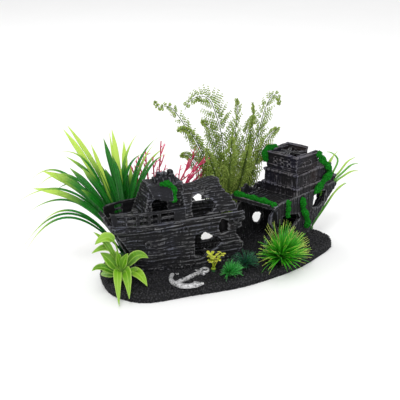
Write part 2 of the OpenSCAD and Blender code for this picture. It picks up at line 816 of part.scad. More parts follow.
// face turns a leaf's broad side towards that direction
module leaf(root, len, lean, way, droop, w, steps, thick = 0.3, face = undef, foot = 0.12) {
    strand(
        function(s) leaf_at(root, len, lean, way, droop, s),
        function(s) max(0.25, w * pow(sin(180 * clamp01(lerp(foot, 0.98, s))), 0.7)),
        steps, 4, thick, is_undef(face) ? [cos(way), sin(way), 0.3] : face);
}

tall_blades = 22;
module tall_grass_plug() {
    plug(tall_grass_at, plug_r);
}
module tall_grass() {
    color([0.06, 0.45, 0.12]) {
        crown(tall_grass_at, 5, 5);
        translate(tall_grass_at + [0, 0, 4]) cylinder(r1 = 4.5, r2 = 2.6, h = 24, $fn = 12);
        for (i = [0:tall_blades - 1]) {
            t = i / (tall_blades - 1);
            lean = lerp(-58, 13, pow(t, 0.75));
            leaf(
                at_crown(tall_grass_at, 4, 5, 45 * (1 - t), 180 + 150 * wob(i, 31)) + [0, 0, -1.5],
                lerp(140, 184, ease(t * 2)) * (1 - 0.12 * abs(wob(i, 33))),
                abs(lean), lean < 0 ? 180 + 8 * wob(i, 34) : 5 * wob(i, 34), lerp(34, 6, ease(t * 1.6)),
                3.2, 5, 0.16, [0.5 * wob(i, 35), -1, 0.3]);
        }
    }
}

broad_leaves = 9;
module broad_leaf_plug() {
    plug(broad_leaf_at, small_plug_r);
}
module broad_leaf() {
    color([0.45, 0.72, 0.18]) {
        crown(broad_leaf_at, 3.6, 4);
        for (i = [0:broad_leaves - 1]) {
            upright = i % 3 == 0;
            lean = upright ? 12 + i : 52 + 6 * wob(i, 42);
            way = lerp(150, 338, (i * 4 % broad_leaves) / (broad_leaves - 1));
            leaf(at_crown(broad_leaf_at, 2.6, 4, lean, way), upright ? 58 - 2.2 * i : 37 + 9 * abs(wob(i, 41)),
                lean, way, upright ? 16 : 24, 6.2, 5, 0.18, undef, 0.03);
        }
    }
}

module coral_plug() {
    plug(coral_at, plug_r);
}
// Fan coral: each branch forks, in a thin upright plane
module coral_branch(a, len, w, r, level, k) {
    dir = [sin(w), 0.05 * wob(k, 51), cos(w)];
    b = a + len * dir;
    strand(function(s) a + (len * 1.02 * s) * dir, function(s) lerp(r, r * 0.8, s), 1, 5);
    if (level > 0)
        for (side = [-1, 1])
            coral_branch(b + side * 0.35 * r * [cos(w), 0, -sin(w)] - 0.3 * r * dir, len * (0.84 + 0.08 * wob(k, 52)), w + side * (12 + 5 * wob(k + side, 53)),
                r * 0.74, level - 1, k * 2 + side);
}
module coral() {
    color([0.85, 0.25, 0.42]) {
        crown(coral_at, 4.5, 4);
        for (w = [-20, -6, 9, 23])
            coral_branch(at_crown(coral_at, 2.6, 4, w, 0), 37 - 0.1 * abs(w), w, 1.6, abs(w) > 8 ? 3 : 2, w + 50);
    }
}

fronds = 9;
frond_lobes = 10;
module fern_plug() {
    plug(fern_at, plug_r);
}
function frond_at(i, s) =
    let (t = i / (fronds - 1))
    leaf_at(fern_at + [3 * cos(i * 137), 2 * sin(i * 137), 5.5 + 0.4 * i], lerp(222, 198, t) * (1 - 0.16 * abs(wob(i, 61))),
        abs(lerp(-26, 20, t)), (t < 0.6 ? 176 : 4) + 6 * wob(i, 62), 8 + 5 * wob(i, 63), s);
// Half-width of a frond along its length: pairs of leaflets with gaps between them
function frond_w(i, k) =
    let (s = k / (2 * frond_lobes), full = 13.5 * pow(sin(180 * lerp(0.04, 0.93, s)), 0.8))
    s < 0.24 ? 1.4 : k % 2 == 1 ? full * (1 + 0.12 * wob(i + k, 64)) : 0.24 * full + 0.6;
module fern() {
    color([0.45, 0.55, 0.22]) {
        crown(fern_at, 5.5, 7);
        translate(fern_at + [0, 0, 4]) cylinder(r1 = 5, r2 = 3.2, h = 20, $fn = 12);
        for (i = [0:fronds - 1])
            strand(function(s) frond_at(i, s), function(s) frond_w(i, round(s * 2 * frond_lobes)),
                2 * frond_lobes, 4, function(s) lerp(1.5, 0.5, s), [0.25 * wob(i, 65), -1, 0.1]);
    }
}

ball_blades = 42;
ball_len = 44;
// Gaps between the ball's middle and the hull behind it, and the tuft ahead of it
ball_gap = 14;
ball_ahead = 29;
module grass_ball_plug() {
    plug(grass_ball_at, small_plug_r);
}
module grass_ball() {
    color([0.25, 0.65, 0.15]) {
        crown(grass_ball_at, 5.6, 6);
        for (i = [0:ball_blades - 1]) {
            lean = lerp(6, 72, sqrt((i + 0.5) / ball_blades));
            way = i * 137.5;
            back = sin(lean + 6) * cos(way - stern_turn - 90);
            ahead = -sin(lean + 6) * cos(way);
            leaf(at_crown(grass_ball_at, 4.8, 6, lean, way),
                min(ball_len + 4 * wob(i, 71), back > 0.1 ? ball_gap / back : 99, ahead > 0.1 ? ball_ahead / ahead : 99),
                lean, way, 8, 1.5, 2, 0.5);
        }
    }
}

// Low tuft of narrow leaves
module tuft(at, blades, len, w, lean, k) {
    crown(at, 3.2, 3);
    for (i = [0:blades - 1])
        leaf(at_crown(at, 2.7, 3, lerp(8, lean, sqrt((i + 0.5) / blades)), i * 137.5),
            len * (1 + 0.15 * wob(i, k)), lerp(8, lean, sqrt((i + 0.5) / blades)),
            i * 137.5, 8, w, 2, 0.5);
}
module green_tuft_plug() {
    plug(green_tuft_at, small_plug_r);
}
module green_tuft() {
    color([0.15, 0.50, 0.16]) tuft(green_tuft_at, 18, 15, 1.4, 66, 81);
}
module dark_tuft_plug() {
    plug(dark_tuft_at, small_plug_r);
}
module dark_tuft() {
    color([0.10, 0.34, 0.20]) tuft(dark_tuft_at, 18, 17, 1.4, 62, 85);
}

sprig_stems = 4;
module yellow_sprig_plug() {
    plug(yellow_sprig_at, small_plug_r);
}
// A stem's line, and its leaves in pairs up it
function sprig_at(i, s) =
    leaf_at(yellow_sprig_at + [0.5 * wob(i, 95), 0.5 * wob(i, 96), 4.5], 15 + 2.5 * i, 8 + 3 * i, 90 * i + 25, 6, s);
module yellow_sprig() {
    color([0.78, 0.82, 0.22]) {
        crown(yellow_sprig_at, 2.8, 2.5);
        for (i = [0:sprig_stems - 1]) {
            strand(function(s) sprig_at(i, s), function(s) 0.8, 3, 5);
            for (k = [0:2])
                leaf(sprig_at(i, 0.98 - 0.15 * k), 5.5, 62, 120 * k + 30 * i, 8, 2, 2, 0.4);
        }
    }
}

module rear_sprig_plug() {
    color([0.10, 0.30, 0.10])
        rear_tilt()
            translate([0, 0, -5.8]) cylinder(r = small_plug_r, h = 9.2, $fn = 48);
}
module rear_sprig() {
    color([0.45, 0.66, 0.20]) {
        rear_tilt() crown([0, 0, 0], 2.8, 3);
        for (i = [0:5])
            leaf(rear_sprig_at + [3.2 + 0.8 * wob(i, 93), 1.4 + 0.8 * wob(i, 94), 5.6], 106 + 8 * wob(i, 91),
                46 + 3 * i, stern_turn - 4 + 10 * wob(i, 92), -24 + 5 * i, 1.7, 6, 0.4, [0, -1, 0.3]);
    }
}

base_plinth();
bow_hull_port();
bow_hull_starboard();
stem_post();
bow_deck();
bow_rail_port();
bow_rail_starboard();
bow_wale();
forecastle_cabin();
cabin_eave();
mast_stump();
midship_roof();
rail_bitt();
porthole_bow();
porthole_mid();
porthole_roof();
porthole_break();
stern_hull_port();
stern_hull_starboard();
stern_transom();
stern_deck();
deck_beam();
stern_rib();
stern_bulwark();
quarterdeck_house();
castle_mid_tier();
castle_top_tier();
castle_beams();
anchor();
moss_cabin();
moss_beam();
moss_hull();
moss_port();
moss_garland();
moss_rim();
air_inlet();
air_tube();
air_stone();
tall_grass_plug();
tall_grass();
broad_leaf_plug();
broad_leaf();
coral_plug();
coral();
fern_plug();
fern();
grass_ball_plug();
grass_ball();
green_tuft_plug();
green_tuft();
yellow_sprig_plug();
yellow_sprig();
dark_tuft_plug();
dark_tuft();
rear_sprig_plug();
rear_sprig();
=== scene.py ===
import math
import bpy
import numpy as np
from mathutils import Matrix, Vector


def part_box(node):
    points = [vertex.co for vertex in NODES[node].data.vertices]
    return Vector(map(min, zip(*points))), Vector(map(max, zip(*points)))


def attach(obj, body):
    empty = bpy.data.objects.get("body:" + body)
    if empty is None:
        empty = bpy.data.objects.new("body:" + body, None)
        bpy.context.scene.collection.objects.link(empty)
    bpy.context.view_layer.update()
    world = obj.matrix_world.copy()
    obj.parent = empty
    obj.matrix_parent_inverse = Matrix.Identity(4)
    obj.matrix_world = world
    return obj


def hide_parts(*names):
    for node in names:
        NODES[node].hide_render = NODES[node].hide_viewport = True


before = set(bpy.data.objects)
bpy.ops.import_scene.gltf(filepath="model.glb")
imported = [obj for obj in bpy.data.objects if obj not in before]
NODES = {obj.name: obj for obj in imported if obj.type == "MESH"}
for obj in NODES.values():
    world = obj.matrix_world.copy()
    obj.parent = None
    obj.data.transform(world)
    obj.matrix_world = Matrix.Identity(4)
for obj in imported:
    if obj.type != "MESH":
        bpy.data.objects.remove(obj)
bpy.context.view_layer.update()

scene = bpy.context.scene
S = 1000.0  # the shapes below are worked out in millimetres
SEA = 24.0  # degrees that the stern half is turned
REAR_LEAN = 28  # degrees that the rear sprig's socket leans aft


def mid(node):
    lo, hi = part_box(node)
    return np.array((lo + hi) / 2) * S


def top(node):
    c = mid(node)
    c[2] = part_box(node)[1].z * S
    return c


# ---- camera --------------------------------------------------------------------------------
# A camera picked by trying a few on the photo's base outline. Its distance rests on the chosen scale.
AIM_FROM_BASE, AIM_HEIGHT = (-8.1, 54.5), 70
AZ, EL, DIST = math.radians(-24), math.radians(20), 1.170
base_mid = mid("base_plinth")
aim = Vector(((base_mid[0] + AIM_FROM_BASE[0]) / S, (base_mid[1] + AIM_FROM_BASE[1]) / S, AIM_HEIGHT / S))
back = Vector((math.sin(AZ) * math.cos(EL), -math.cos(AZ) * math.cos(EL), math.sin(EL)))
cam_data = bpy.data.cameras.new("camera")
cam_data.lens, cam_data.sensor_width = 81, 36
cam = bpy.data.objects.new("camera", cam_data)
scene.collection.objects.link(cam)
cam.location = aim + back * DIST
cam.rotation_mode = "QUATERNION"
cam.rotation_quaternion = (-back).to_track_quat("-Z", "Y")
scene.camera = cam


# ---- noise ---------------------------------------------------------------------------------
def hash01(a, b, c, seed=0):
    n = (np.asarray(a).astype(np.int64) * 73856093) ^ (np.asarray(b).astype(np.int64) * 19349663)
    n = n ^ (np.asarray(c).astype(np.int64) * 83492791) ^ (seed * 40503 + 977)
    for _ in range(2):
        n = n & 0xFFFFFFFF
        n = ((n ^ (n >> 16)) * 0x45D9F3B) & 0xFFFFFFFF
    return (n ^ (n >> 16)) / 4294967296.0


def vnoise(q, seed=0):
    """Smooth noise from -1 to 1 over unit cells."""
    i = np.floor(q).astype(np.int64)
    f = q - i
    f = f * f * (3 - 2 * f)
    out = np.zeros(len(q))
    for dx in (0, 1):
        wx = f[:, 0] if dx else 1 - f[:, 0]
        for dy in (0, 1):
            wy = wx * (f[:, 1] if dy else 1 - f[:, 1])
            for dz in (0, 1):
                w = wy * (f[:, 2] if dz else 1 - f[:, 2])
                out += w * hash01(i[:, 0] + dx, i[:, 1] + dy, i[:, 2] + dz, seed)
    return out * 2 - 1


def fbm(p, size, seed=0, octaves=3):
    out, amp, total = np.zeros(len(p)), 1.0, 0.0
    for k in range(octaves):
        out += amp * vnoise(p / (size / 2 ** k), seed + 17 * k)
        total += amp
        amp *= 0.5
    return out / total


def cells(p, size, seed=0):
    """Distance to the nearest scattered point, in cell sizes, and that cell's own number."""
    q = p / size
    i = np.floor(q).astype(np.int64)
    best, own = np.full(len(p), 9.0), np.zeros(len(p))
    for dx in (-1, 0, 1):
        for dy in (-1, 0, 1):
            for dz in (-1, 0, 1):
                a, b, c = i[:, 0] + dx, i[:, 1] + dy, i[:, 2] + dz
                j = np.stack([a + hash01(a, b, c, seed), b + hash01(a, b, c, seed + 1),
                              c + hash01(a, b, c, seed + 2)], 1)
                d = np.linalg.norm(j - q, axis=1)
                near = d < best
                best[near] = d[near]
                own[near] = hash01(a, b, c, seed + 3)[near]
    return best, own


def smooth(a, b, x):
    k = np.clip((x - a) / (b - a), 0, 1)
    return k * k * (3 - 2 * k)


# ---- materials -----------------------------------------------------------------------------
class Mat:
    def __init__(self, name):
        self.m = bpy.data.materials.new(name)
        self.m.use_nodes = True
        self.nt = self.m.node_tree
        self.bsdf = self.nt.nodes["Principled BSDF"]

    def put(self, kind, inputs=(), **props):
        n = self.nt.nodes.new(kind)
        for k, v in props.items():
            setattr(n, k, v)
        for key, v in inputs:
            self.to(n.inputs[key], v)
        return n

    def to(self, socket, v):
        if isinstance(v, bpy.types.NodeSocket):
            self.nt.links.new(v, socket)
        elif isinstance(v, (tuple, list)) and len(v) == 3 and socket.type == "RGBA":
            socket.default_value = (*v, 1)
        else:
            socket.default_value = v

    def attr(self, name):
        return self.put("ShaderNodeAttribute", attribute_name=name).outputs["Fac"]

    def noise(self, scale, detail=3.0, rough=0.55, stretch=None):
        at = self.put("ShaderNodeTexCoord").outputs["Object"]
        if stretch:
            at = self.put("ShaderNodeMapping", [("Vector", at), ("Scale", stretch)]).outputs[0]
        return self.put("ShaderNodeTexNoise", [("Vector", at), ("Scale", scale), ("Detail", detail),
                                               ("Roughness", rough)]).outputs["Fac"]

    def calc(self, op, a, b=0.0, c=0.0, clamp=False):
        return self.put("ShaderNodeMath", [(0, a), (1, b), (2, c)], operation=op, use_clamp=clamp).outputs[0]

    def span(self, v, a, b, lo=0.0, hi=1.0):
        return self.put("ShaderNodeMapRange", [("Value", v), ("From Min", a), ("From Max", b), ("To Min", lo),
                                               ("To Max", hi)], interpolation_type="SMOOTHSTEP").outputs[0]

    def mix(self, fac, a, b, mode="MIX"):
        n = self.put("ShaderNodeMix", data_type="RGBA", blend_type=mode)
        self.to(n.inputs[0], fac)
        self.to(n.inputs[6], a)
        self.to(n.inputs[7], b)
        return n.outputs[2]

    def bump(self, height, distance, strength=1.0):
        n = self.put("ShaderNodeBump", [("Height", height), ("Distance", distance), ("Strength", strength)])
        self.to(self.bsdf.inputs["Normal"], n.outputs[0])

    def set(self, **kw):
        for k, v in kw.items():
            self.to(self.bsdf.inputs[k.replace("_", " ")], v)
        return self.m


def resin_mat(name, dark, pale, amount, tint=1.0):
    """Cast resin, near black, with grey brushed over its raised edges."""
    m = Mat(name)
    wear = m.attr("wear")
    fine = m.noise(620, 4, 0.65)
    broad = m.noise(34, 3, 0.5)
    brushed = m.calc("ADD", wear, m.calc("MULTIPLY", m.calc("SUBTRACT", fine, 0.5), 1.25))
    brushed = m.calc("ADD", brushed, m.calc("MULTIPLY", m.calc("SUBTRACT", broad, 0.5), 0.35))
    k = m.span(brushed, 0.5, 1.12, 0.0, amount)
    cool = m.mix(m.span(m.noise(21, 2), 0.45, 0.75, 0, 0.55 * tint), dark,
                 (dark[0] * 0.9, dark[1] * 0.95, dark[2] * 1.9))
    warm = m.mix(m.span(m.noise(27, 2, 0.4, (1, 1.4, 1.2)), 0.55, 0.8, 0, 0.5 * tint), cool,
                 (dark[0] * 2.2, dark[1] * 1.3, dark[2] * 0.95))
    paint = m.mix(m.span(m.noise(55, 2), 0.4, 0.7), pale, (pale[0] * 0.86, pale[1] * 0.9, pale[2] * 1.12))
    colour = m.mix(k, warm, paint)
    m.bump(m.calc("ADD", m.noise(1500, 3, 0.6), m.calc("MULTIPLY", fine, 0.6)), 0.00035, 0.7)
    return m.set(Base_Color=colour, Roughness=m.span(fine, 0.3, 0.8, 0.6, 0.85), Specular_IOR_Level=0.22)


RESIN = resin_mat("resin_charcoal", (0.0050, 0.0050, 0.0060), (0.15, 0.15, 0.155), 0.62)
RESIN_PALE = resin_mat("resin_brushed", (0.007, 0.007, 0.008), (0.20, 0.20, 0.205), 0.75, 0.6)
CASTLE = resin_mat("resin_castle", (0.0068, 0.0060, 0.0078), (0.165, 0.155, 0.165), 0.64, 1.6)


def gravel_mat():
    m = Mat("black_gravel")
    grain, wear = m.attr("grain"), m.attr("wear")
    fine = m.noise(900, 3, 0.6)
    body = m.mix(m.span(grain, 0.55, 1.0, 0, 1), (0.0030, 0.0030, 0.0036), (0.013, 0.013, 0.016))
    body = m.mix(m.span(grain, 0.94, 0.98, 0, 0.5), body, (0.050, 0.048, 0.046))
    edge = m.mix(m.span(m.calc("ADD", wear, m.calc("MULTIPLY", fine, 0.5)), 0.75, 1.35, 0, 0.40), body,
                 (0.075, 0.075, 0.080))
    m.bump(fine, 0.0004, 0.9)
    return m.set(Base_Color=edge, Roughness=m.span(grain, 0, 1, 0.5, 0.85), Specular_IOR_Level=0.2)


def moss_mat():
    m = Mat("flocked_moss")
    grain, wear = m.attr("grain"), m.attr("wear")
    fine = m.noise(1300, 3, 0.7)
    body = m.mix(grain, (0.003, 0.070, 0.005), (0.007, 0.175, 0.011))
    body = m.mix(m.span(m.calc("ADD", wear, fine), 0.8, 1.5, 0, 0.55), body, (0.022, 0.32, 0.022))
    body = m.mix(m.span(m.noise(60, 2), 0.5, 0.8, 0, 0.45), body, (0.002, 0.055, 0.004))
    m.bump(fine, 0.0006, 1.0)
    return m.set(Base_Color=body, Roughness=0.9, Specular_IOR_Level=0.06)


def anchor_mat():
    m = Mat("anchor_silver")
    wear = m.attr("wear")
    fine = m.noise(520, 4, 0.7)
    k = m.span(m.calc("ADD", wear, m.calc("MULTIPLY", fine, 0.9)), 0.42, 0.95, 0, 1)
    colour = m.mix(k, (0.022, 0.022, 0.024), (0.60, 0.60, 0.61))
    m.bump(fine, 0.0005, 0.8)
    return m.set(Base_Color=colour, Roughness=m.span(fine, 0.2, 0.8, 0.4, 0.65),
                 Metallic=m.calc("MULTIPLY", k, 0.35))


def leaf_mat(name, low, high, tip, tip_from, rim=None, rib=None, stripe=0.0, rough=0.32, back=0.12,
             tip_to=1.0):
    """Moulded plastic leaf: colour runs from low to high to tip along it."""
    m = Mat(name)
    along, across, tone = m.attr("along"), m.attr("across"), m.attr("tone")
    side = m.calc("ABSOLUTE", across)
    wander = m.calc("ADD", along, m.calc("MULTIPLY", m.calc("SUBTRACT", tone, 0.5), 0.5))
    colour = m.mix(m.span(wander, 0.0, max(0.2, tip_from), 0, 1), low, high)
    blotch = m.noise(90, 3, 0.5)
    colour = m.mix(m.span(blotch, 0.35, 0.75, 0, 0.5), colour, tuple(0.55 * c for c in high))
    if stripe:
        lines = m.calc("SINE", m.calc("MULTIPLY", across, 9.0))
        colour = m.mix(m.span(lines, -0.2, 0.9, 0, stripe), colour, tuple(0.4 * c for c in low))
    colour = m.mix(m.calc("MULTIPLY", tone, 0.35), colour, tuple(min(1, 1.5 * c) for c in high))
    colour = m.mix(m.span(m.calc("ADD", wander, m.calc("MULTIPLY", blotch, 0.1)), tip_from + 0.05,
                          tip_to + 0.05, 0, 1), colour, tip)
    if rim:
        colour = m.mix(m.span(side, 0.66, 1.0, 0, 0.85), colour, rim)
    if rib:
        colour = m.mix(m.span(side, 0.16, 0.0, 0, 0.7), colour, rib)
    veins = m.calc("SINE", m.calc("MULTIPLY", m.calc("SUBTRACT", m.calc("MULTIPLY", along, 3.2), side), 34.0))
    m.bump(m.calc("ADD", m.calc("MULTIPLY", veins, 0.35), m.noise(420, 2)), 0.0003, 0.5)
    return m.set(Base_Color=colour, Roughness=m.span(blotch, 0.3, 0.8, rough, rough + 0.2),
                 Specular_IOR_Level=0.5, Subsurface_Weight=back, Subsurface_Radius=(0.4, 0.9, 0.2),
                 Subsurface_Scale=0.002)


def plain_mat(name, a, b, scale, rough=0.5, depth=0.0003, **kw):
    m = Mat(name)
    n = m.noise(scale, 4, 0.6)
    m.bump(n, depth, 0.8)
    return m.set(Base_Color=m.mix(m.span(n, 0.35, 0.7), a, b),
                 Roughness=m.span(n, 0.3, 0.7, rough, rough + 0.2), **kw)


GRAVEL, MOSS, ANCHOR = gravel_mat(), moss_mat(), anchor_mat()


# ---- mesh tools ----------------------------------------------------------------------------
def arrays(mesh):
    nv, ne = len(mesh.vertices), len(mesh.edges)
    co, no, ed = np.empty(nv * 3, np.float32), np.empty(nv * 3, np.float32), np.empty(ne * 2, np.int32)
    mesh.vertices.foreach_get("co", co)
    mesh.vertices.foreach_get("normal", no)
    mesh.edges.foreach_get("vertices", ed)
    return co.reshape(-1, 3).astype(float) * S, no.reshape(-1, 3).astype(float), ed.reshape(-1, 2)


def put_co(mesh, p):
    mesh.vertices.foreach_set("co", (p / S).astype(np.float32).ravel())
    mesh.update()


def relaxed(p, edges, rounds):
    n = len(p)
    a, b = edges[:, 0], edges[:, 1]
    deg = np.maximum(np.bincount(a, minlength=n) + np.bincount(b, minlength=n), 1)
    for _ in range(rounds):
        q = np.empty_like(p)
        for k in range(p.shape[1]):
            q[:, k] = np.bincount(a, p[b, k], n) + np.bincount(b, p[a, k], n)
        p = q / deg[:, None]
    return p


def remeshed(node, voxel):
    """A fine, even copy of a CAD node's surface."""
    tmp = bpy.data.objects.new("tmp", NODES[node].data.copy())
    scene.collection.objects.link(tmp)
    r = tmp.modifiers.new("r", "REMESH")
    r.mode, r.voxel_size = "VOXEL", voxel / S * 1
    dg = bpy.context.evaluated_depsgraph_get()
    out = bpy.data.meshes.new_from_object(tmp.evaluated_get(dg), depsgraph=dg)
    old = tmp.data
    bpy.data.objects.remove(tmp)
    bpy.data.meshes.remove(old)
    return out


def place(name, mesh, material, body, nodes, attrs=()):
    for k, v in dict(attrs).items():
        mesh.attributes.new(k, "FLOAT", "POINT").data.foreach_set("value", np.asarray(v, np.float32))
    mesh.polygons.foreach_set("use_smooth", np.ones(len(mesh.polygons), bool))
    mesh.materials.clear()
    mesh.materials.append(material)
    mesh.update()
    ob = bpy.data.objects.new(name, mesh)
    scene.collection.objects.link(ob)
    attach(ob, body)
    if nodes:
        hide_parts(*nodes)
    return ob


def raised(mesh, reach=4):
    p, n, e = arrays(mesh)
    wide = ((p - relaxed(p, e, reach * 4)) * n).sum(1)
    near = ((p - relaxed(p, e, reach)) * n).sum(1)
    return near, wide


# ---- worn timber surfaces ------------------------------------------------------------------
def axes(p, turned):
    if not turned:
        return p
    w = math.radians(SEA)
    return np.stack([p[:, 0] * math.cos(w) + p[:, 1] * math.sin(w),
                     p[:, 1] * math.cos(w) - p[:, 0] * math.sin(w), p[:, 2]], 1)


def boards(across, along, pitch, seed, gap, run, lift):
    c = across / pitch + 0.5 * vnoise(np.stack([along / 26, across / 9, 0 * along], 1), seed)
    k = np.floor(c)
    f = c - k
    a = along / run + 7 * hash01(k, 0 * k, 0 * k, seed)
    j = np.floor(a)
    deep = 0.35 + 0.65 * hash01(np.round(c), j, 0 * k, seed + 2)
    seam = np.exp(-(np.minimum(f, 1 - f) * pitch / 0.6) ** 2) * deep
    butt = np.exp(-(np.minimum(a - j, 1 - a + j) * run / 0.6) ** 2)
    rise = (hash01(k, j, 0 * k, seed + 1) - 0.5) * lift
    return rise + 0.25 * (1 - (2 * f - 1) ** 4) - gap * np.maximum(seam, 0.8 * butt)


def grain(across, along, seed, wide=1.6, long=12):
    q = np.stack([along / long, across / wide, 0 * along], 1)
    return 0.65 * vnoise(q, seed) + 0.35 * vnoise(q * 2.1, seed + 5)


def timbered(node, upright=False, pitch=5.2, turned=False, voxel=0.8, gap=1.0, run=50, lift=0.7, rough=0.45,
             carve=0.5, seed=1, material=None, slot="resin", arc=None, extra=None, wear=0.0):
    """A CAD node's surface as cast timber: boards, grain, chips and pits."""
    mesh = remeshed(node, voxel)
    p, n, e = arrays(mesh)
    l, ln = axes(p, turned), axes(relaxed(n, e, 2), turned)
    end, flat = np.abs(ln[:, 0]) > np.abs(ln[:, 1]) * 1.3, np.abs(ln[:, 2]) > 0.75
    level = np.where(end, l[:, 1], l[:, 0])
    if upright:
        across, along = level, l[:, 2]
    else:
        across, along = l[:, 2], level
    across, along = np.where(flat, l[:, 1], across), np.where(flat, l[:, 0], along)
    if arc is not None:
        across, along = arc(l), l[:, 0]
    h = boards(across, along, pitch, seed, gap, run, lift) if pitch else np.zeros(len(p))
    h += carve * grain(across, along, seed + 9) + rough * fbm(p, 7, seed + 3)
    chip, _ = cells(p, 11, seed + 40)
    h -= 0.8 * rough * smooth(0.30, 0.12, chip)
    if extra is not None:
        h += extra(l, ln, p)
    if rough:
        q = p + n * (h - 0.15)[:, None]
    else:
        q = p + n * h[:, None]
    q[:, 2] = np.maximum(q[:, 2], 0.2)
    put_co(mesh, q)
    near, wide = raised(mesh)
    worn = 0.26 + 2.0 * near + 0.35 * wide + 0.20 * fbm(p, 22, seed + 70)
    worn = worn + 0.14 * grain(across, along, seed + 31, 1.2, 8) + wear
    return place(node + "_cast", mesh, material or RESIN, "ornament", [node], {"wear": worn})


def frayed(at, amount, size=2.2):
    """Pulls a wall's broken end, which lies at this place along the ship, in and out board by board."""
    def f(l, ln, p):
        near_end = smooth(at - 16, at, l[:, 0])
        torn = vnoise(np.stack([l[:, 2] / size, l[:, 1] / 30, 0 * l[:, 2]], 1), 77)
        return amount * near_end * torn * np.abs(ln[:, 0])
    return f


def ports(rows, cols, size, face):
    """Small square openings sunk into a wall's face."""
    def f(l, ln, p):
        out = np.zeros(len(l))
        side = ln[:, face[0]] * face[1] > 0.6
        across = l[:, 1 - face[0]]
        for z in rows:
            for c in cols:
                inside = np.maximum(np.abs(across - c), np.abs(l[:, 2] - z) * 0.9)
                out -= 2.6 * smooth(size * 0.62, size * 0.42, inside) * side
        return out
    return f


def join(*fs):
    return lambda l, ln, p: sum(f(l, ln, p) for f in fs)


bow_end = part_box("bow_hull_port")[1].x * S


def heaped(l, ln, p):
    """Gravel drifted against the foot of the hull."""
    d, _ = cells(p, 2.8, 90)
    return smooth(30, 17, p[:, 2] + 3 * fbm(p, 12, 91)) * (1.4 * (1 - d) + 0.2)


BAND_Z, GROOVE_Z = 73.5, 69.5


def hull_bands(l, ln, p):
    """A raised strake along the hull with a groove under it."""
    z = l[:, 2]
    return 0.9 * np.exp(-((z - BAND_Z) / 1.6) ** 2) - 0.7 * np.exp(-((z - GROOVE_Z) / 0.9) ** 2)


PALE = dict(material=RESIN_PALE, slot="resin_dry_brushed")
for side, seed in (("port", 1), ("starboard", 2)):
    timbered("bow_hull_" + side, pitch=4.9, seed=seed, gap=1.1, run=64, carve=0.55,
             extra=join(frayed(bow_end, 2.2), heaped, hull_bands))
    timbered("bow_rail_" + side, pitch=None, seed=seed + 3, voxel=0.6, carve=0.32, rough=0.3, wear=0.06)
    timbered("stern_hull_" + side, upright=True, pitch=6.0, turned=True, seed=seed + 5, run=34, carve=0.5,
             extra=heaped)
timbered("stern_transom", pitch=6.2, turned=True, seed=9, extra=heaped)
timbered("stem_post", upright=True, pitch=None, seed=10, voxel=0.6, rough=0.55, carve=0.35, **PALE, wear=0.10)
timbered("bow_deck", pitch=5.0, seed=11, run=40)
timbered("bow_wale", pitch=4.2, seed=12, voxel=0.6, gap=0.7, run=38, carve=0.4, **PALE)
timbered("forecastle_cabin", pitch=4.1, seed=13, run=19, gap=0.9, rough=0.75)
timbered("cabin_eave", pitch=None, seed=14, voxel=0.6, rough=0.8, carve=0.3, **PALE)
timbered("mast_stump", upright=True, pitch=4.4, seed=15, voxel=0.6, rough=0.8, run=60)
roof_mid = mid("midship_roof")
timbered("midship_roof", seed=16, pitch=4.8, run=36, gap=1.1, rough=0.6,
         arc=lambda l: 33 * np.arctan2(l[:, 2] - 84, l[:, 1] - roof_mid[1]), extra=frayed(2, 2.0))
timbered("rail_bitt", pitch=None, seed=17, voxel=0.5, rough=0.35, carve=0.2, **PALE)
for k, name in enumerate(("bow", "mid", "roof", "break")):
    timbered("porthole_" + name, pitch=None, seed=18 + k, voxel=0.42, rough=0.25, carve=0.1, **PALE, wear=0.1)
timbered("stern_deck", pitch=5.6, turned=True, seed=24, run=40)
timbered("deck_beam", pitch=None, turned=True, seed=25, voxel=0.6, carve=0.6, rough=0.6, **PALE)
timbered("stern_rib", upright=True, pitch=None, turned=True, seed=26, voxel=0.6, carve=0.6)
timbered("stern_bulwark", upright=True, pitch=5.5, turned=True, seed=27, voxel=0.6, carve=0.4)
timbered("quarterdeck_house", upright=True, pitch=7.0, turned=True, seed=28, run=40, material=CASTLE)
timbered("castle_mid_tier", upright=True, pitch=6.2, turned=True, seed=29, run=40, material=CASTLE)
tower = axes(mid("castle_top_tier")[None], True)[0]
fore, abeam = (0, -1), (1, -1)  # the axis a face looks along, and which way
timbered("castle_top_tier", pitch=5.4, turned=True, seed=30, run=44, material=CASTLE,
         extra=join(ports((tower[2] + 3.5, tower[2] - 3), (tower[1] - 13, tower[1] - 2, tower[1] + 9), 3.4,
                          fore),
                    ports((tower[2] - 2,), (tower[0] - 6, tower[0] + 8), 3.0, abeam)))
timbered("castle_beams", pitch=None, turned=True, seed=31, voxel=0.55, carve=0.45, rough=0.4, **PALE)


def hold_shade_boards():
    """Broken boards inside the hold, close behind the small break in the port side, put there as painted
    shade: they carry no wear attribute, so they stay almost unbrushed black behind the opening.
    """
    L = Leaves(40)
    ring = mid("porthole_break")
    for k in range(6):
        x = ring[0] - 24 + 5.4 * k
        s = np.linspace(0, 1, 9)
        low = ring + [x - ring[0], 10 + 0.8 * math.sin(2.4 * k), -21 + 2 * math.sin(1.7 * k)]
        pts = low + np.stack([0.5 * np.sin(3 * s + k), 0 * s, (26 + 4 * math.sin(2.9 * k)) * s], 1)
        L.blade(pts, 2.5 + 0.25 * np.sin(9 * s + k), np.array([0.0, -1.0, 0.0]), 2.6, 0.08, 4)
    # Painted shade: with no wear attribute the resin leaves these boards almost black, a dark sheet seen
    # through the break
    L.make("hold_shade_boards", RESIN, "ornament", [])


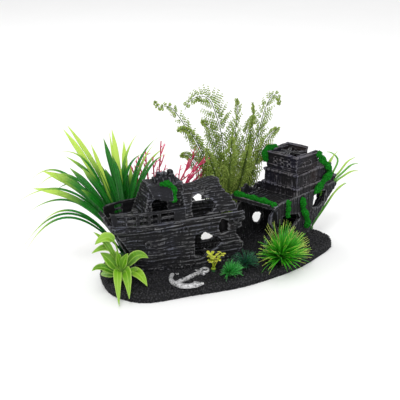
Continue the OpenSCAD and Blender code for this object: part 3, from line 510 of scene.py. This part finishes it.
# ---- gravel base ---------------------------------------------------------------------------
def pebble_base():
    mesh = remeshed("base_plinth", 0.85)
    p, n, e = arrays(mesh)
    outer = smooth(-0.6, -0.1, n[:, 2]) * smooth(0.2, 1.6, p[:, 2])
    d1, own = cells(p, 2.6, 50)
    d2, own2 = cells(p, 1.6, 60)
    h = outer * (2.2 * (0.58 - d1) + 1.0 * (0.6 - d2) + 0.8 * fbm(p, 16, 52))
    q = p + n * h[:, None]
    q[:, 2] = np.where(p[:, 2] < 0.4, p[:, 2], np.maximum(q[:, 2], 0.4))
    put_co(mesh, q)
    near, _ = raised(mesh, 3)
    place("base_gravel", mesh, GRAVEL, "ornament", ["base_plinth"],
          {"grain": np.where(own2 > 0.6, own2, own), "wear": 0.3 + 2.0 * near})


pebble_base()


# ---- moss ----------------------------------------------------------------------------------
def ico():
    t = (1 + 5 ** 0.5) / 2
    v = np.array([(-1, t, 0), (1, t, 0), (-1, -t, 0), (1, -t, 0), (0, -1, t), (0, 1, t), (0, -1, -t),
                  (0, 1, -t),
                  (t, 0, -1), (t, 0, 1), (-t, 0, -1), (-t, 0, 1)], float)
    f = [(0, 11, 5), (0, 5, 1), (0, 1, 7), (0, 7, 10), (0, 10, 11), (1, 5, 9), (5, 11, 4), (11, 10, 2),
         (10, 7, 6), (7, 1, 8),
         (3, 9, 4), (3, 4, 2), (3, 2, 6), (3, 6, 8), (3, 8, 9), (4, 9, 5), (2, 4, 11), (6, 2, 10), (8, 6, 7),
         (9, 8, 1)]
    return v / np.linalg.norm(v[0]), np.array(f)


ICO_V, ICO_F = ico()


def crumbs(at, sizes, rng):
    """Small uneven lumps at these points: vertices, faces and one number each."""
    vs, fs = [], []
    for k, (c, r) in enumerate(zip(at, sizes)):
        shape = ICO_V * (0.75 + 0.5 * rng.random((12, 1))) * (0.7 + 0.6 * rng.random(3)) * r
        vs.append(c + shape)
        fs.append(ICO_F + 12 * k)
    return np.concatenate(vs), np.concatenate(fs), np.repeat(rng.random(len(at)), 12)


def mossed(node, seed):
    mesh = remeshed(node, 0.8)
    p, n, e = arrays(mesh)
    d, own = cells(p, 2.6, seed)
    h = 1.4 * (0.55 - d) + 1.1 * fbm(p, 6, seed + 4) - 0.5
    put_co(mesh, p + n * h[:, None])
    near, _ = raised(mesh, 3)
    p, n, e = arrays(mesh)
    rng = np.random.default_rng(seed)
    pick = rng.choice(len(p), min(len(p), int(len(p) * 0.16)), replace=False)
    cv, cf, own2 = crumbs(p[pick] + n[pick] * 0.25, 0.45 + 0.5 * rng.random(len(pick)), rng)
    polys = [tuple(f.vertices) for f in mesh.polygons] + (cf + len(p)).tolist()
    out = bpy.data.meshes.new(node)
    out.from_pydata((np.concatenate([p, cv]) / S).tolist(), [], polys)
    place(node + "_flock", out, MOSS, "ornament", [node],
          {"grain": np.concatenate([own, own2]), "wear": np.concatenate([0.3 + 1.6 * near,
                                                                         np.full(len(cv), 0.62)])})
    bpy.data.meshes.remove(mesh)


for k, node in enumerate(("moss_cabin", "moss_beam", "moss_hull", "moss_port", "moss_garland", "moss_rim")):
    mossed(node, 200 + 11 * k)


# ---- anchor --------------------------------------------------------------------------------
def cast_anchor():
    mesh = remeshed("anchor", 0.5)
    p, n, e = arrays(mesh)
    put_co(mesh, p + n * (0.55 * fbm(p, 3.6, 310) + 0.25 * fbm(p, 1.7, 311))[:, None])
    near, _ = raised(mesh)
    place("anchor_cast", mesh, ANCHOR, "ornament", ["anchor"],
          {"wear": 0.2 + 1.2 * near + 0.4 * fbm(p, 4, 312)})


cast_anchor()


# ---- leaves --------------------------------------------------------------------------------
class Leaves:
    def __init__(self, seed):
        self.rng = np.random.default_rng(seed)
        self.v, self.f, self.n = [], [], 0
        self.tags = {"along": [], "across": [], "tone": []}

    def add(self, v, f, along, across, tone):
        self.v.append(v)
        self.f += [tuple(int(i) + self.n for i in q) for q in f]
        self.n += len(v)
        for k, x in (("along", along), ("across", across), ("tone", tone)):
            self.tags[k].append(np.broadcast_to(np.asarray(x, float), (len(v),)))

    def blade(self, pts, half, face, thick=0.35, fold=0.0, cols=2, tone=None, start=0.0, end=1.0, wave=0.0):
        """A closed strip along pts, half its width at each, its upper side turned towards face."""
        m = len(pts)
        t = np.gradient(pts, axis=0)
        t /= np.linalg.norm(t, axis=1)[:, None]
        s = np.cross(t, np.broadcast_to(face, t.shape))
        s /= np.maximum(np.linalg.norm(s, axis=1), 1e-6)[:, None]
        up = np.cross(s, t)
        c = np.linspace(-1, 1, cols + 1)
        half = np.asarray(half)
        lift = fold * np.abs(c)[None] * half[:, None]
        if wave:
            lift = lift + wave * np.sin(np.arange(m) * 1.7)[:, None] * c[None] * half[:, None]
        mid_pts = pts[:, None] + s[:, None] * (half[:, None] * c[None])[...,
                                                                        None] + up[:, None] * lift[..., None]
        off = up[:, None] * (thick / 2)
        v = np.concatenate([(mid_pts + off).reshape(-1, 3), (mid_pts - off).reshape(-1, 3)])
        w, o = cols + 1, m * (cols + 1)
        f = []
        for i in range(m - 1):
            for j in range(cols):
                a = i * w + j
                f.append((a, a + 1, a + w + 1, a + w))
                f.append((o + a, o + a + w, o + a + w + 1, o + a + 1))
            a, b = i * w, i * w + cols
            f.append((a, a + w, o + a + w, o + a))
            f.append((b, o + b, o + b + w, b + w))
        for j in range(cols):
            f.append((j, o + j, o + j + 1, j + 1))
            a = (m - 1) * w + j
            f.append((a, a + 1, o + a + 1, o + a))
        along = np.tile(np.repeat(np.linspace(start, end, m), w), 2)
        across = np.tile(np.tile(c, m), 2)
        self.add(v, f, along, across, self.rng.random() if tone is None else tone)

    def stem(self, pts, radius, sides=5, tone=0.5, start=0.0, end=1.0):
        m = len(pts)
        t = np.gradient(pts, axis=0)
        t /= np.linalg.norm(t, axis=1)[:, None]
        a = np.cross(t, np.array([0.31, 0.11, 0.94]) if abs(t[0][2]) < 0.8 else np.array([0.9, 0.4, 0.1]))
        a /= np.linalg.norm(a, axis=1)[:, None]
        b = np.cross(t, a)
        w = np.linspace(0, 2 * math.pi, sides, endpoint=False)
        r = np.broadcast_to(np.asarray(radius, float), (m,))[:, None, None]
        v = pts[:, None] + r * (np.cos(w)[None, :, None] * a[:, None] + np.sin(w)[None, :, None] * b[:, None])
        f = []
        for i in range(m - 1):
            for k in range(sides):
                k2 = (k + 1) % sides
                f.append((i * sides + k, i * sides + k2, (i + 1) * sides + k2, (i + 1) * sides + k))
        f.append(tuple(range(sides - 1, -1, -1)))
        f.append(tuple((m - 1) * sides + k for k in range(sides)))
        self.add(v.reshape(-1, 3), f, np.repeat(np.linspace(start, end, m), sides), 0.0, tone)

    def make(self, name, material, body, nodes):
        mesh = bpy.data.meshes.new(name)
        mesh.from_pydata((np.concatenate(self.v) / S).tolist(), [], self.f)
        return place(name, mesh, material, body, nodes, {k: np.concatenate(v) for k,
                                                               v in self.tags.items()})


def bend(root, length, lean, heading, droop, steps, side=0.0, late=1.4):
    """A line that leaves root at lean degrees from upright along heading, and bows over by droop."""
    s = np.linspace(0, 1, steps)
    w = np.radians(lean + droop * s ** late)
    h = math.radians(heading)
    step = length / (steps - 1)
    out = np.cumsum(np.sin(w)) * step - np.sin(w[0]) * step
    up = np.cumsum(np.cos(w)) * step - np.cos(w[0]) * step
    bow = side * np.sin(s * math.pi / 2) ** 2
    x, y = out * math.cos(h) - bow * math.sin(h), out * math.sin(h) + bow * math.cos(h)
    return root + np.stack([x, y, up], 1)


def taper(steps, wide, foot=0.35, point=1.0, peak=0.45):
    s = np.linspace(0, 1, steps)
    rise = foot + (1 - foot) * smooth(0, peak, s)
    fall = 1 - smooth(peak, 1.0, s) ** point
    return wide * np.maximum(rise * fall, 0.04)


def strap(steps, wide):
    """Half-widths of a strap leaf, which keeps its width almost to its tip."""
    s = np.linspace(0, 1, steps)
    return wide * np.maximum((0.26 + 0.74 * smooth(0.05, 0.68, s)) * (1 - smooth(0.84, 1.0, s)) ** 0.6, 0.06)


def crown(L, root, r, high):
    """Moulded foot that holds the leaves: a button with a ring of sheaths."""
    for k in range(9):
        w = 2 * math.pi * k / 9
        a = root + np.array([r * 0.8 * math.cos(w), r * 0.8 * math.sin(w), -0.6])
        pts = np.stack([a, a + [0.3 * math.cos(w), 0.3 * math.sin(w), high * 0.55],
                        a + [-0.2 * r * math.cos(w), -0.2 * r * math.sin(w), high]])
        L.stem(pts, [r * 0.42, r * 0.36, r * 0.12], 7, 0.2, 0, 0.1)
    pts = root + np.array([[0, 0, z] for z in (-0.8, 0.2, high * 0.4, high * 0.7)])
    L.stem(pts, [r * 0.9, r, r * 0.75, r * 0.3], 14, 0.25, 0, 0.1)


# Along the camera's line of sight, how far a point goes sideways and down for each step in depth
SIDE_PER_DEPTH, DROP_PER_DEPTH = 0.445, 0.399
# The way from the ornament to the camera, which most leaves turn their broad sides towards
VIEW = np.array([-0.38, -0.86, 0.34])


def swing(root, tip, lean, pull, depth=0.0, steps=19):
    """A line from root to tip, which leaves root at lean degrees from upright.

    Depth carries its end away from the camera, along the line of sight."""
    tip = np.array([tip[0] + SIDE_PER_DEPTH * depth, depth, tip[1] - DROP_PER_DEPTH * depth])
    w = math.radians(lean)
    lead = pull * np.linalg.norm(tip) * np.array([math.sin(w), 0, math.cos(w)])
    s = np.linspace(0, 1, steps)[:, None]
    return root + 2 * s * (1 - s) * lead + s * s * tip


def through(root, way, depth=0.0, steps=40):
    """A smooth line from root through places beside and above it, with a depth at its end as in swing."""
    way = np.array([(0.0, 0.0)] + list(way))
    leg = np.concatenate([[0], np.cumsum(np.linalg.norm(np.diff(way, axis=0), axis=1))])
    s = np.linspace(0, leg[-1], steps)
    d = depth * (s / leg[-1]) ** 1.3
    knots = np.concatenate([[2 * way[0] - way[1]], way, [2 * way[-1] - way[-2]]])
    i = np.clip(np.searchsorted(leg, s, side="right") - 1, 0, len(way) - 2)
    u = ((s - leg[i]) / (leg[i + 1] - leg[i]))[:, None]
    a, b, c, e = knots[i], knots[i + 1], knots[i + 2], knots[i + 3]
    q = 0.5 * (2 * b + (c - a) * u + (2 * a - 5 * b + 4 * c - e) * u * u + (3 * b - a - 3 * c + e) * u ** 3)
    return root + np.stack([q[:, 0] + SIDE_PER_DEPTH * d, d, q[:, 1] - DROP_PER_DEPTH * d], 1)


# ---- plants --------------------------------------------------------------------------------
# The tables of straps, arcs, leaves, arms, fronds and ways are millimetres from each plant's plug.
# About half of them are not chosen by hand: a separate script took places picked in the photo and
# carried them through the camera above onto an upright plane at the plant, and they were rounded.
# The others were changed from those, or placed between them.
def tall_grass():
    L = Leaves(11)
    root = top("tall_grass_plug") + [0, 0, 0.5]
    crown(L, root, 4.6, 6)
    rng = L.rng
    # tip to the side and up, first lean, pull, half-width and tone
    straps = (
        (-73, 177, -9, 0.50, 3.4, 0.9), (-64, 178, -5, 0.50, 3.2, 0.8), (-74, 144, -2, 0.62, 2.3, 0.3),
        (-98, 128, -16, 0.60, 3.8, 0.6), (-84, 125, -13, 0.60, 3.3, 0.4),
        (-113, 108, -20, 0.62, 3.5, 0.7), (-61, 125, -12, 0.50, 3.7, 0.1), (-26, 161, -1, 0.50, 3.3, 0.0),
        (-12, 169, 1, 0.50, 3.2, 0.95), (-18, 167, -4, 0.50, 1.6, 1.0), (-35, 152, -8, 0.50, 2.4, 1.0),
        (3, 154, 6, 0.50, 3.6, 1.0), (-30, 130, -4, 0.50, 4.2, 0.1), (-10, 134, 3, 0.50, 4.3, 0.0),
        (2, 128, 9, 0.50, 4.0, 0.1), (-47, 122, -8, 0.50, 4.0, 0.2), (9, 122, 10, 0.50, 3.4, 0.3),
        (-21, 120, 2, 0.50, 4.4, 0.0), (-80, 96, -20, 0.60, 3.4, 0.5), (-50, 98, -10, 0.55, 3.8, 0.1),
        (-36, 106, 0, 0.50, 4.2, 0.0), (-5, 108, 6, 0.50, 4.2, 0.0),
    )
    depths = (18, -10, 26, 4, -16, 10, -22, 22, 0)
    for k, (x, z, lean, pull, wide, tone) in enumerate(straps):
        start = root + [rng.normal(0, 1.5), rng.normal(0, 1.2), 1.0]
        depth = depths[k % len(depths)] + rng.normal(0, 2)
        pts = swing(start, (x, z - 4), lean, pull, depth)
        face = VIEW + [0.35 * rng.normal(), 0, 0.3 * rng.random()]
        L.blade(pts, strap(19, wide), face, 0.5, 0.22 * (1 if rng.random() < 0.6 else -1), 4, tone=tone)
    arcs = (
        (22, 162, -6, 0.80), (28, 132, -6, 0.92), (44, 152, 0, 0.80), (42, 144, 4, 0.76),
        (58, 140, 6, 0.84), (56, 128, 8, 0.88), (-126, 39, -30, 1.04), (-119, 32, -34, 0.97),
        (-122, 78, -25, 0.92), (-130, 94, -23, 0.90), (-114, 121, -22, 1.1), (-103, 107, -18, 1.07),
        (-87, 100, -18, 1.15), (-70, 146, -10, 0.9), (-104, 62, -30, 1.0),
    )
    depths = (14, -18, 6, -6, 20, -12)
    for k, (x, z, lean, pull) in enumerate(arcs):
        start = root + [rng.normal(0, 1.5) + (3 if x > 0 else -1), rng.normal(0, 1.2), 1]
        pts = swing(start, (x, z - 4), lean, pull, depths[k % len(depths)], 23)
        L.blade(pts, taper(23, 1.9 if x > 0 else 1.5, 0.6, 2.2, 0.45), VIEW + [0, 0, 0.6], 0.45, 0.25, 2,
                tone=0.25 + 0.5 * rng.random())
    mat = leaf_mat("grass_plastic", (0.001, 0.055, 0.007), (0.010, 0.205, 0.011), (0.52, 0.73, 0.10), 0.64,
                   stripe=0.5, rough=0.24, tip_to=1.0)
    L.make("tall_grass_leaves", mat, "tall_grass", ["tall_grass"])


def broad_leaf():
    L = Leaves(12)
    root = top("broad_leaf_plug") + [0, 0, 0.3]
    crown(L, root, 3.2, 4)
    rng = L.rng
    # tip to the side and up, first lean, pull, half-width, depth and share of bare stalk
    leaves = (
        (-29, 64, -6, 0.55, 3.6, -10, 0.34), (-27, 49, 2, 1.12, 6.6, -14, 0.50),
        (-33, 38, 0, 1.05, 4.2, -6, 0.48), (-24, 37, -22, 0.55, 6.6, -4, 0.26),
        (-33, 17, -40, 0.72, 4.8, -14, 0.14), (12, 31, 8, 0.5, 5.0, -12, 0.30),
        (37, 22, 24, 0.82, 6.4, -29, 0.18), (24, 8, 60, 0.75, 3.4, -18, 0.25),
        (36, -13, 40, 0.62, 6.6, -36, 0.30), (14, -24, 20, 0.66, 6.8, -42, 0.12),
        (3, -31, -10, 0.60, 5.0, -47, 0.16), (-4, 36, -3, 0.5, 4.4, -8, 0.34),
        (-13, 44, -8, 0.5, 4.6, 4, 0.30), (-20, 22, -20, 0.6, 5.2, 20, 0.2),
        (-27, 8, -50, 0.7, 5.2, 22, 0.2),
    )
    for x, z, lean, pull, wide, depth, stalk in leaves:
        pts = swing(root + [rng.normal(0, 0.7), rng.normal(0, 0.7), 1.5], (x, z), lean, pull, depth, 21)
        pts[:, 2] = np.maximum(pts[:, 2], 1.4)
        s = np.linspace(0, 1, 21)
        u = np.clip((s - stalk) / (1 - stalk), 0, 1)
        w = np.maximum(wide * np.sin(np.pi * u ** 0.82) ** 0.85, 0.75 * (s < 0.9))
        w[-1] = 0.12
        L.blade(pts, w, VIEW * 0.9 + [0.25 * rng.normal(), 0, 0.25 + 0.2 * rng.random()], 0.55, 0.24, 8,
                wave=0.05)
    mat = leaf_mat("broad_plastic", (0.040, 0.165, 0.006), (0.125, 0.310, 0.010), (0.22, 0.42, 0.022), 0.6,
                   rim=(0.42, 0.62, 0.12), rib=(0.36, 0.58, 0.08), rough=0.24, back=0.06)
    L.make("broad_leaf_leaves", mat, "broad_leaf", ["broad_leaf"])


def coral():
    L = Leaves(13)
    root = top("coral_plug") + [0, 0, 0.4]
    crown(L, root, 3.9, 4)
    rng = L.rng
    def branch(pts, r0, r1, order):
        m = len(pts)
        s = np.linspace(0, 1, m)
        L.stem(pts, r0 + (r1 - r0) * s, 6, rng.random(), 0.3 * order, 0.3 * order + 0.3)
        for q in range(3, m - 1, 2):
            side = 1 if (q // 2 + order) % 2 else -1
            t = pts[q + 1] - pts[q]
            w = math.degrees(math.atan2(t[0], t[2])) + side * (48 + 12 * rng.normal())
            a = math.radians(w)
            size = (2.8 + 3.6 * rng.random())
            d = np.array([math.sin(a), 0.35 * rng.normal(), math.cos(a)])
            L.stem(np.stack([pts[q], pts[q] + size * 0.5 * d + [0, 0, 0.2], pts[q] + size * d]),
                   [r1 * 0.9, r1 * 0.8, r1 * 0.45], 5, rng.random(), 0.6, 0.9)
    # main arms: tip to the side and up, first lean and depth. Side arms fork off them.
    arms = (
        (-36, 80, -14, 4), (-31, 118, -12, -6), (-12, 136, -6, 6), (9, 143, 2, -4), (60, 130, 14, 4),
        (68, 117, 20, -6), (70, 98, 30, 6), (46, 114, 16, 10), (-30, 66, -22, -10), (48, 96, 22, -10),
        (-22, 128, -8, 12), (-2, 124, 0, -10), (-38, 98, -16, 10), (74, 106, 24, 10), (-24, 96, -12, -4),
        (56, 110, 22, 0),
    )
    for k, (x, z, lean, depth) in enumerate(arms):
        pts = swing(root + [0.04 * x, rng.normal(0, 0.8), 1.5], (x, z - 5), lean, 0.5, depth, 17)
        pts[2:-1] += rng.normal(0, 0.45, (14, 3)) * [1, 0.6, 0.5]
        branch(pts, 1.45, 0.8, 0)
        for q in (6, 8, 10, 12, 14):
            side = 1 if (q + k) % 2 else -1
            t = pts[q + 1] - pts[q - 1]
            a = math.atan2(t[0], t[2]) + side * math.radians(30 + 8 * rng.random())
            size = (0.30 - 0.012 * q) * np.linalg.norm(pts[-1] - pts[0]) * (0.7 + 0.3 * rng.random())
            bow = np.linspace(0, 1, 8)[:, None]
            d, up = np.array([math.sin(a), 0.12 * rng.normal(), math.cos(a)]), t / np.linalg.norm(t)
            branch(pts[q] + size * (bow * d * (1 - 0.35 * bow) + 0.45 * bow ** 2 * up), 0.95, 0.62, 1)
    mat = leaf_mat("coral_plastic", (0.45, 0.014, 0.055), (0.65, 0.040, 0.135), (0.80, 0.17, 0.30), 0.5,
                   rough=0.4, back=0.06)
    L.make("coral_fans", mat, "coral", ["coral"])


def fern():
    L = Leaves(14)
    root = top("fern_plug") + [0, 0, 0.5]
    crown(L, root, 4.8, 7)
    rng = L.rng
    def frond(way, reach, depth, bare=0.18):
        steps = 50
        pts = through(root + [0.05 * way[-1][0], 0.06 * depth, 2], way, depth, steps)
        L.stem(pts, np.linspace(1.15, 0.4, steps), 5, 0.0, 0, 0.15)
        t = np.gradient(pts, axis=0)
        t /= np.linalg.norm(t, axis=1)[:, None]
        turn = rng.normal(0, 0.35)
        for i in range(int(bare * steps), steps - 1):
            u0 = i / (steps - 1)
            long = reach * np.interp(u0, [0.12, 0.3, 0.5, 0.72, 0.88, 1],
                                     [0.55, 0.95, 1.0, 0.85, 0.42, 0.10]) * (0.82 + 0.3 * rng.random())
            for side in (-1, 1):
                if rng.random() < 0.10:
                    continue
                out = np.cross(t[i], [turn, -1, 0.1]) * side
                d = out * 0.82 + t[i] * 0.58 + np.array([0, 0.30 * rng.normal(), 0])
                d /= np.linalg.norm(d)
                q = np.linspace(0, 1, 5)[:, None]
                rib = pts[i] + long * (q * d + 0.20 * q * q * t[i])
                L.stem(rib, np.linspace(0.26, 0.10, 5), 3, 0.1, 0.2, 0.4)
                across = np.cross(d, [turn, -1, 0.2])
                across /= np.linalg.norm(across)
                lobes = max(3, int(long / 2.5))
                for k in range(1, lobes + 1):
                    u = k / (lobes + 0.2)
                    at = pts[i] + long * (u * d + 0.20 * u * u * t[i])
                    size = ((1.0 - 0.6 * u) * 3.2 + 0.6) * (0.8 + 0.4 * rng.random())
                    for wing in (-1, 1):
                        tip = at + size * (wing * across * 0.8 + d * 0.7
                                           + np.array([0, 0.3 * rng.normal(), 0]))
                        m = (at + tip) / 2
                        w = np.cross(tip - at, [0.2, -1, 0.2])
                        w = w / np.linalg.norm(w) * size * 0.36
                        deep = np.array([0, 0.12, 0])
                        v = np.stack([at - deep, m + w - deep, tip - deep, m - w - deep, at + deep,
                                      m + w + deep, tip + deep, m - w + deep])
                        f = [(0, 1, 2, 3), (7, 6, 5, 4), (0, 4, 5, 1), (1, 5, 6, 2), (2, 6, 7, 3),
                             (3, 7, 4, 0)]
                        L.add(v, f, 0.25 + 0.35 * u + 0.35 * u0, 0.4, rng.random())
    # places along each frond, its leaflets' reach and its depth
    rows = (
        (((-12, 50), (-24, 92), (-50, 143), (-74, 178), (-90, 180), (-97, 190)), 12, 4),
        (((-2, 60), (-4, 122), (-14, 162), (-24, 184), (-38, 190), (-52, 184), (-58, 174)), 24, 12),
        (((2, 60), (6, 110), (12, 160), (11, 180)), 19, -4),
        (((14, 60), (26, 108), (33, 150), (34, 174)), 11, 4),
        (((18, 50), (34, 104), (48, 158), (60, 180), (68, 178), (72, 166)), 17, 8),
        (((16, 40), (34, 84), (52, 120), (70, 136)), 15, -8),
        (((-12, 50), (-26, 96), (-44, 134), (-58, 148), (-68, 146)), 12, -10),
        (((-4, 50), (-12, 104), (-24, 146), (-36, 158)), 17, 18),
        (((6, 50), (18, 100), (30, 146), (36, 156)), 15, 18),
        (((-14, 40), (-32, 84), (-52, 112), (-64, 114)), 13, 6),
        (((12, 40), (28, 72), (46, 98), (58, 96)), 14, 10), (((0, 50), (2, 92), (4, 130)), 16, -14),
        (((-6, 40), (-18, 84), (-30, 118)), 15, -12), (((8, 40), (20, 80), (28, 116)), 15, -10),
        (((-2, 40), (-8, 80), (-8, 110)), 15, 10),
    )
    for row in rows:
        frond(*row)
    mat = leaf_mat("fern_plastic", (0.055, 0.100, 0.008), (0.165, 0.250, 0.026), (0.29, 0.39, 0.070), 0.45,
                   rough=0.6, back=0.06)
    L.make("fern_fronds", mat, "fern", ["fern"])


def tufted(node, plug, seed, count, length, wide, spread, mat, clear=(), lift=1.5, crown_r=3.0, droop=14,
           skew=0.0):
    L = Leaves(seed)
    root = top(plug) + [0, 0, 0.3]
    crown(L, root, crown_r, 3)
    rng = L.rng
    for i in range(count):
        lean = abs(4 + spread * math.sqrt((i + 0.5) / count) + rng.normal(0, 7))
        heading = i * 137.508 + rng.normal(0, 12)
        size = length * (0.86 + 0.24 * rng.random())
        size *= 1 - skew * math.sin(math.radians(lean)) * math.cos(math.radians(heading + 24))
        for gap, way in clear:  # room towards a neighbour, and where that lies
            near = math.sin(math.radians(min(90, lean + 8))) * math.cos(math.radians(heading - way))
            if near > 0.1:
                size = min(size, gap / near)
        w = math.radians(heading)
        out = 0.6 * crown_r * math.sin(math.radians(lean))
        start = root + [out * math.cos(w), out * math.sin(w), lift * math.cos(math.radians(lean))]
        pts = bend(start, size, lean, heading, droop + rng.normal(0, 13), 7, rng.normal(0, 0.05) * size)
        pts[:, 2] = np.maximum(pts[:, 2], 1.5)
        L.blade(pts, taper(7, wide * (0.8 + 0.4 * rng.random()), 0.6, 1.0, 0.35),
                np.array([-math.cos(w), -math.sin(w), 0.7]), 0.3, 0.3, 2)
    L.make(node + "_leaves", mat, node, [node])


def yellow_sprig():
    L = Leaves(17)
    root = top("yellow_sprig_plug") + [0, 0, 0.3]
    crown(L, root, 2.4, 2.5)
    rng = L.rng
    for i in range(5):
        heading = 72 * i + 20
        pts = bend(root + [0.6 * math.cos(heading), 0.6 * math.sin(heading), 1], 15 + 2.2 * i, 7 + 4 * i,
                   heading, 8, 7)
        L.stem(pts, np.linspace(0.7, 0.45, 7), 6, 0.4, 0.2, 0.7)
        for k in range(7):
            at = pts[-1 - (k % 4)] - [0, 0, 0.3 * k]
            way = math.radians(137.5 * k + 40 * i)
            leaf = bend(at, 6.2 - 0.3 * k, 55 + 4 * k, math.degrees(way), 30, 7)
            s = np.linspace(0, 1, 7)
            L.blade(leaf, 2.0 * np.maximum(np.sin(np.pi * s ** 0.8) ** 0.7, 0.12),
                    np.array([-math.cos(way) * 0.4, -math.sin(way) * 0.4, 1]), 0.4, 0.25, 4)
    mat = leaf_mat("yellow_plastic", (0.18, 0.30, 0.01), (0.52, 0.58, 0.03), (0.74, 0.74, 0.07), 0.55,
                   rim=(0.80, 0.80, 0.18), rough=0.35)
    L.make("yellow_sprig_leaves", mat, "yellow_sprig", ["yellow_sprig"])


def rear_sprig():
    L = Leaves(18)
    c = mid("rear_sprig_plug")
    lean, way = math.radians(REAR_LEAN), math.radians(SEA)
    axis = np.array([math.sin(lean) * math.cos(way), math.sin(lean) * math.sin(way), math.cos(lean)])
    root = c + axis * 4.4
    rng = L.rng
    a = np.cross(axis, [0, 1, 0])
    a /= np.linalg.norm(a)
    b = np.cross(axis, a)
    for k in range(7):
        w = 2 * math.pi * k / 7
        o = root + 1.7 * (math.cos(w) * a + math.sin(w) * b)
        L.stem(np.stack([o - axis * 0.3, o + axis * 1.6, o * 0.7 + root * 0.3 + axis * 3.2]),
               [1.1, 0.95, 0.4], 7, 0.2, 0, 0.1)
    # places along each blade, and its half-width
    ways = (
        (((12, 28), (26, 60), (30, 74), (37, 88), (36, 96), (27, 104), (20, 106)), 1.3),
        (((8, 30), (16, 66), (18, 80), (24, 94), (34, 104)), 1.2),
        (((14, 30), (29, 62), (41, 74), (53, 87), (65, 92)), 1.3),
        (((15, 30), (30, 60), (45, 73), (58, 82), (69, 83)), 1.4),
        (((16, 29), (32, 58), (47, 68), (60, 73), (70, 72)), 1.3),
        (((16, 22), (31, 42), (44, 53), (54, 57)), 1.2), (((10, 32), (22, 64), (24, 84), (32, 98)), 1.2),
        (((18, 24), (36, 48), (50, 58)), 1.2),
    )
    depths = (6, -4, 3, -2, 0, 4, 10, -6)
    for way, wide, depth in [(*row, d) for row, d in zip(ways, depths)]:
        pts = through(root + axis * 1.2 + [0.5 * rng.normal(), 0.5 * rng.normal(), 0], way, depth, 30)
        L.blade(pts, wide * np.clip(np.minimum(0.55 + np.arange(30) / 20, (30 - np.arange(30)) / 5), 0.25, 1),
                VIEW + [0.2 * rng.normal(), 0, 0.3], 0.5, 0.25, 2)
    mat = leaf_mat("rear_plastic", (0.03, 0.20, 0.015), (0.12, 0.38, 0.03), (0.42, 0.62, 0.10), 0.6,
                   rough=0.3)
    L.make("rear_sprig_leaves", mat, "rear_sprig", ["rear_sprig"])


hold_shade_boards()
tall_grass()
broad_leaf()
coral()
fern()
tufted("grass_ball", "grass_ball_plug", 15, 330, 44, 0.95, 74,
       leaf_mat("ball_plastic", (0.010, 0.18, 0.004), (0.060, 0.45, 0.010), (0.50, 0.64, 0.10), 0.78,
                rough=0.34), clear=((13, SEA + 90), (34, 180)), lift=3, crown_r=5,
       droop=6, skew=0.22)
tufted("green_tuft", "green_tuft_plug", 16, 170, 16.5, 0.36, 74,
       leaf_mat("tuft_plastic", (0.006, 0.10, 0.008), (0.018, 0.26, 0.03), (0.06, 0.42, 0.07), 0.6,
                rough=0.4), clear=((5.5, 133),))
tufted("dark_tuft", "dark_tuft_plug", 19, 170, 17.5, 0.36, 70,
       leaf_mat("dark_plastic", (0.002, 0.028, 0.014), (0.006, 0.075, 0.035), (0.02, 0.15, 0.06), 0.6,
                rough=0.45), clear=((6, 90), (14, 0)))
yellow_sprig()
rear_sprig()


# ---- CAD parts that are shown as they are ---------------------------------------------------
def dress(node, material):
    ob = NODES[node]
    ob.data.materials.clear()
    ob.data.materials.append(material)


PLUG = plain_mat("plug_plastic", (0.010, 0.075, 0.012), (0.020, 0.12, 0.022), 300, 0.4)
for node in NODES:
    if node.endswith("_plug"):
        dress(node, PLUG)
CLEAR = plain_mat("airline_plastic", (0.55, 0.60, 0.62), (0.66, 0.70, 0.72), 160, 0.2, 0.0001,
                  Transmission_Weight=0.35, IOR=1.45)
dress("air_inlet", CLEAR)
dress("air_tube", CLEAR)
dress("air_stone", plain_mat("sintered_stone", (0.09, 0.12, 0.19), (0.20, 0.25, 0.34), 700, 0.8, 0.0008))


# ---- floor and light -----------------------------------------------------------------------
floor_mesh = bpy.data.meshes.new("floor")
floor_mesh.from_pydata([(-9, -9, 0), (9, -9, 0), (9, 9, 0), (-9, 9, 0)], [], [(0, 1, 2, 3)])
floor = bpy.data.objects.new("floor", floor_mesh)
scene.collection.objects.link(floor)
fm = Mat("floor_pale")
fn = fm.noise(6, 2)
floor_mesh.materials.append(fm.set(Base_Color=fm.mix(fn, (0.88, 0.88, 0.88), (0.90, 0.90, 0.90)),
                                   Roughness=0.7, Specular_IOR_Level=0.2))

world = bpy.data.worlds.new("studio")
world.use_nodes = True
world.node_tree.nodes["Background"].inputs["Color"].default_value = (1, 1, 1, 1)
world.node_tree.nodes["Background"].inputs["Strength"].default_value = 0.97
scene.world = world


def area(name, at, size, power):
    d = bpy.data.lights.new(name, "AREA")
    d.shape, d.size, d.energy = "DISK", size, power
    ob = bpy.data.objects.new(name, d)
    scene.collection.objects.link(ob)
    ob.location = at
    ob.rotation_mode = "QUATERNION"
    ob.rotation_quaternion = (Vector((0, 0, 0.06)) - Vector(at)).to_track_quat("-Z", "Y")


area("key", (-0.7, -0.9, 1.5), 0.7, 13)
area("fill", (1.3, -1.0, 1.0), 1.0, 3)
area("rim", (0.2, 1.5, 1.4), 0.9, 6)
scene.view_settings.view_transform = "Standard"
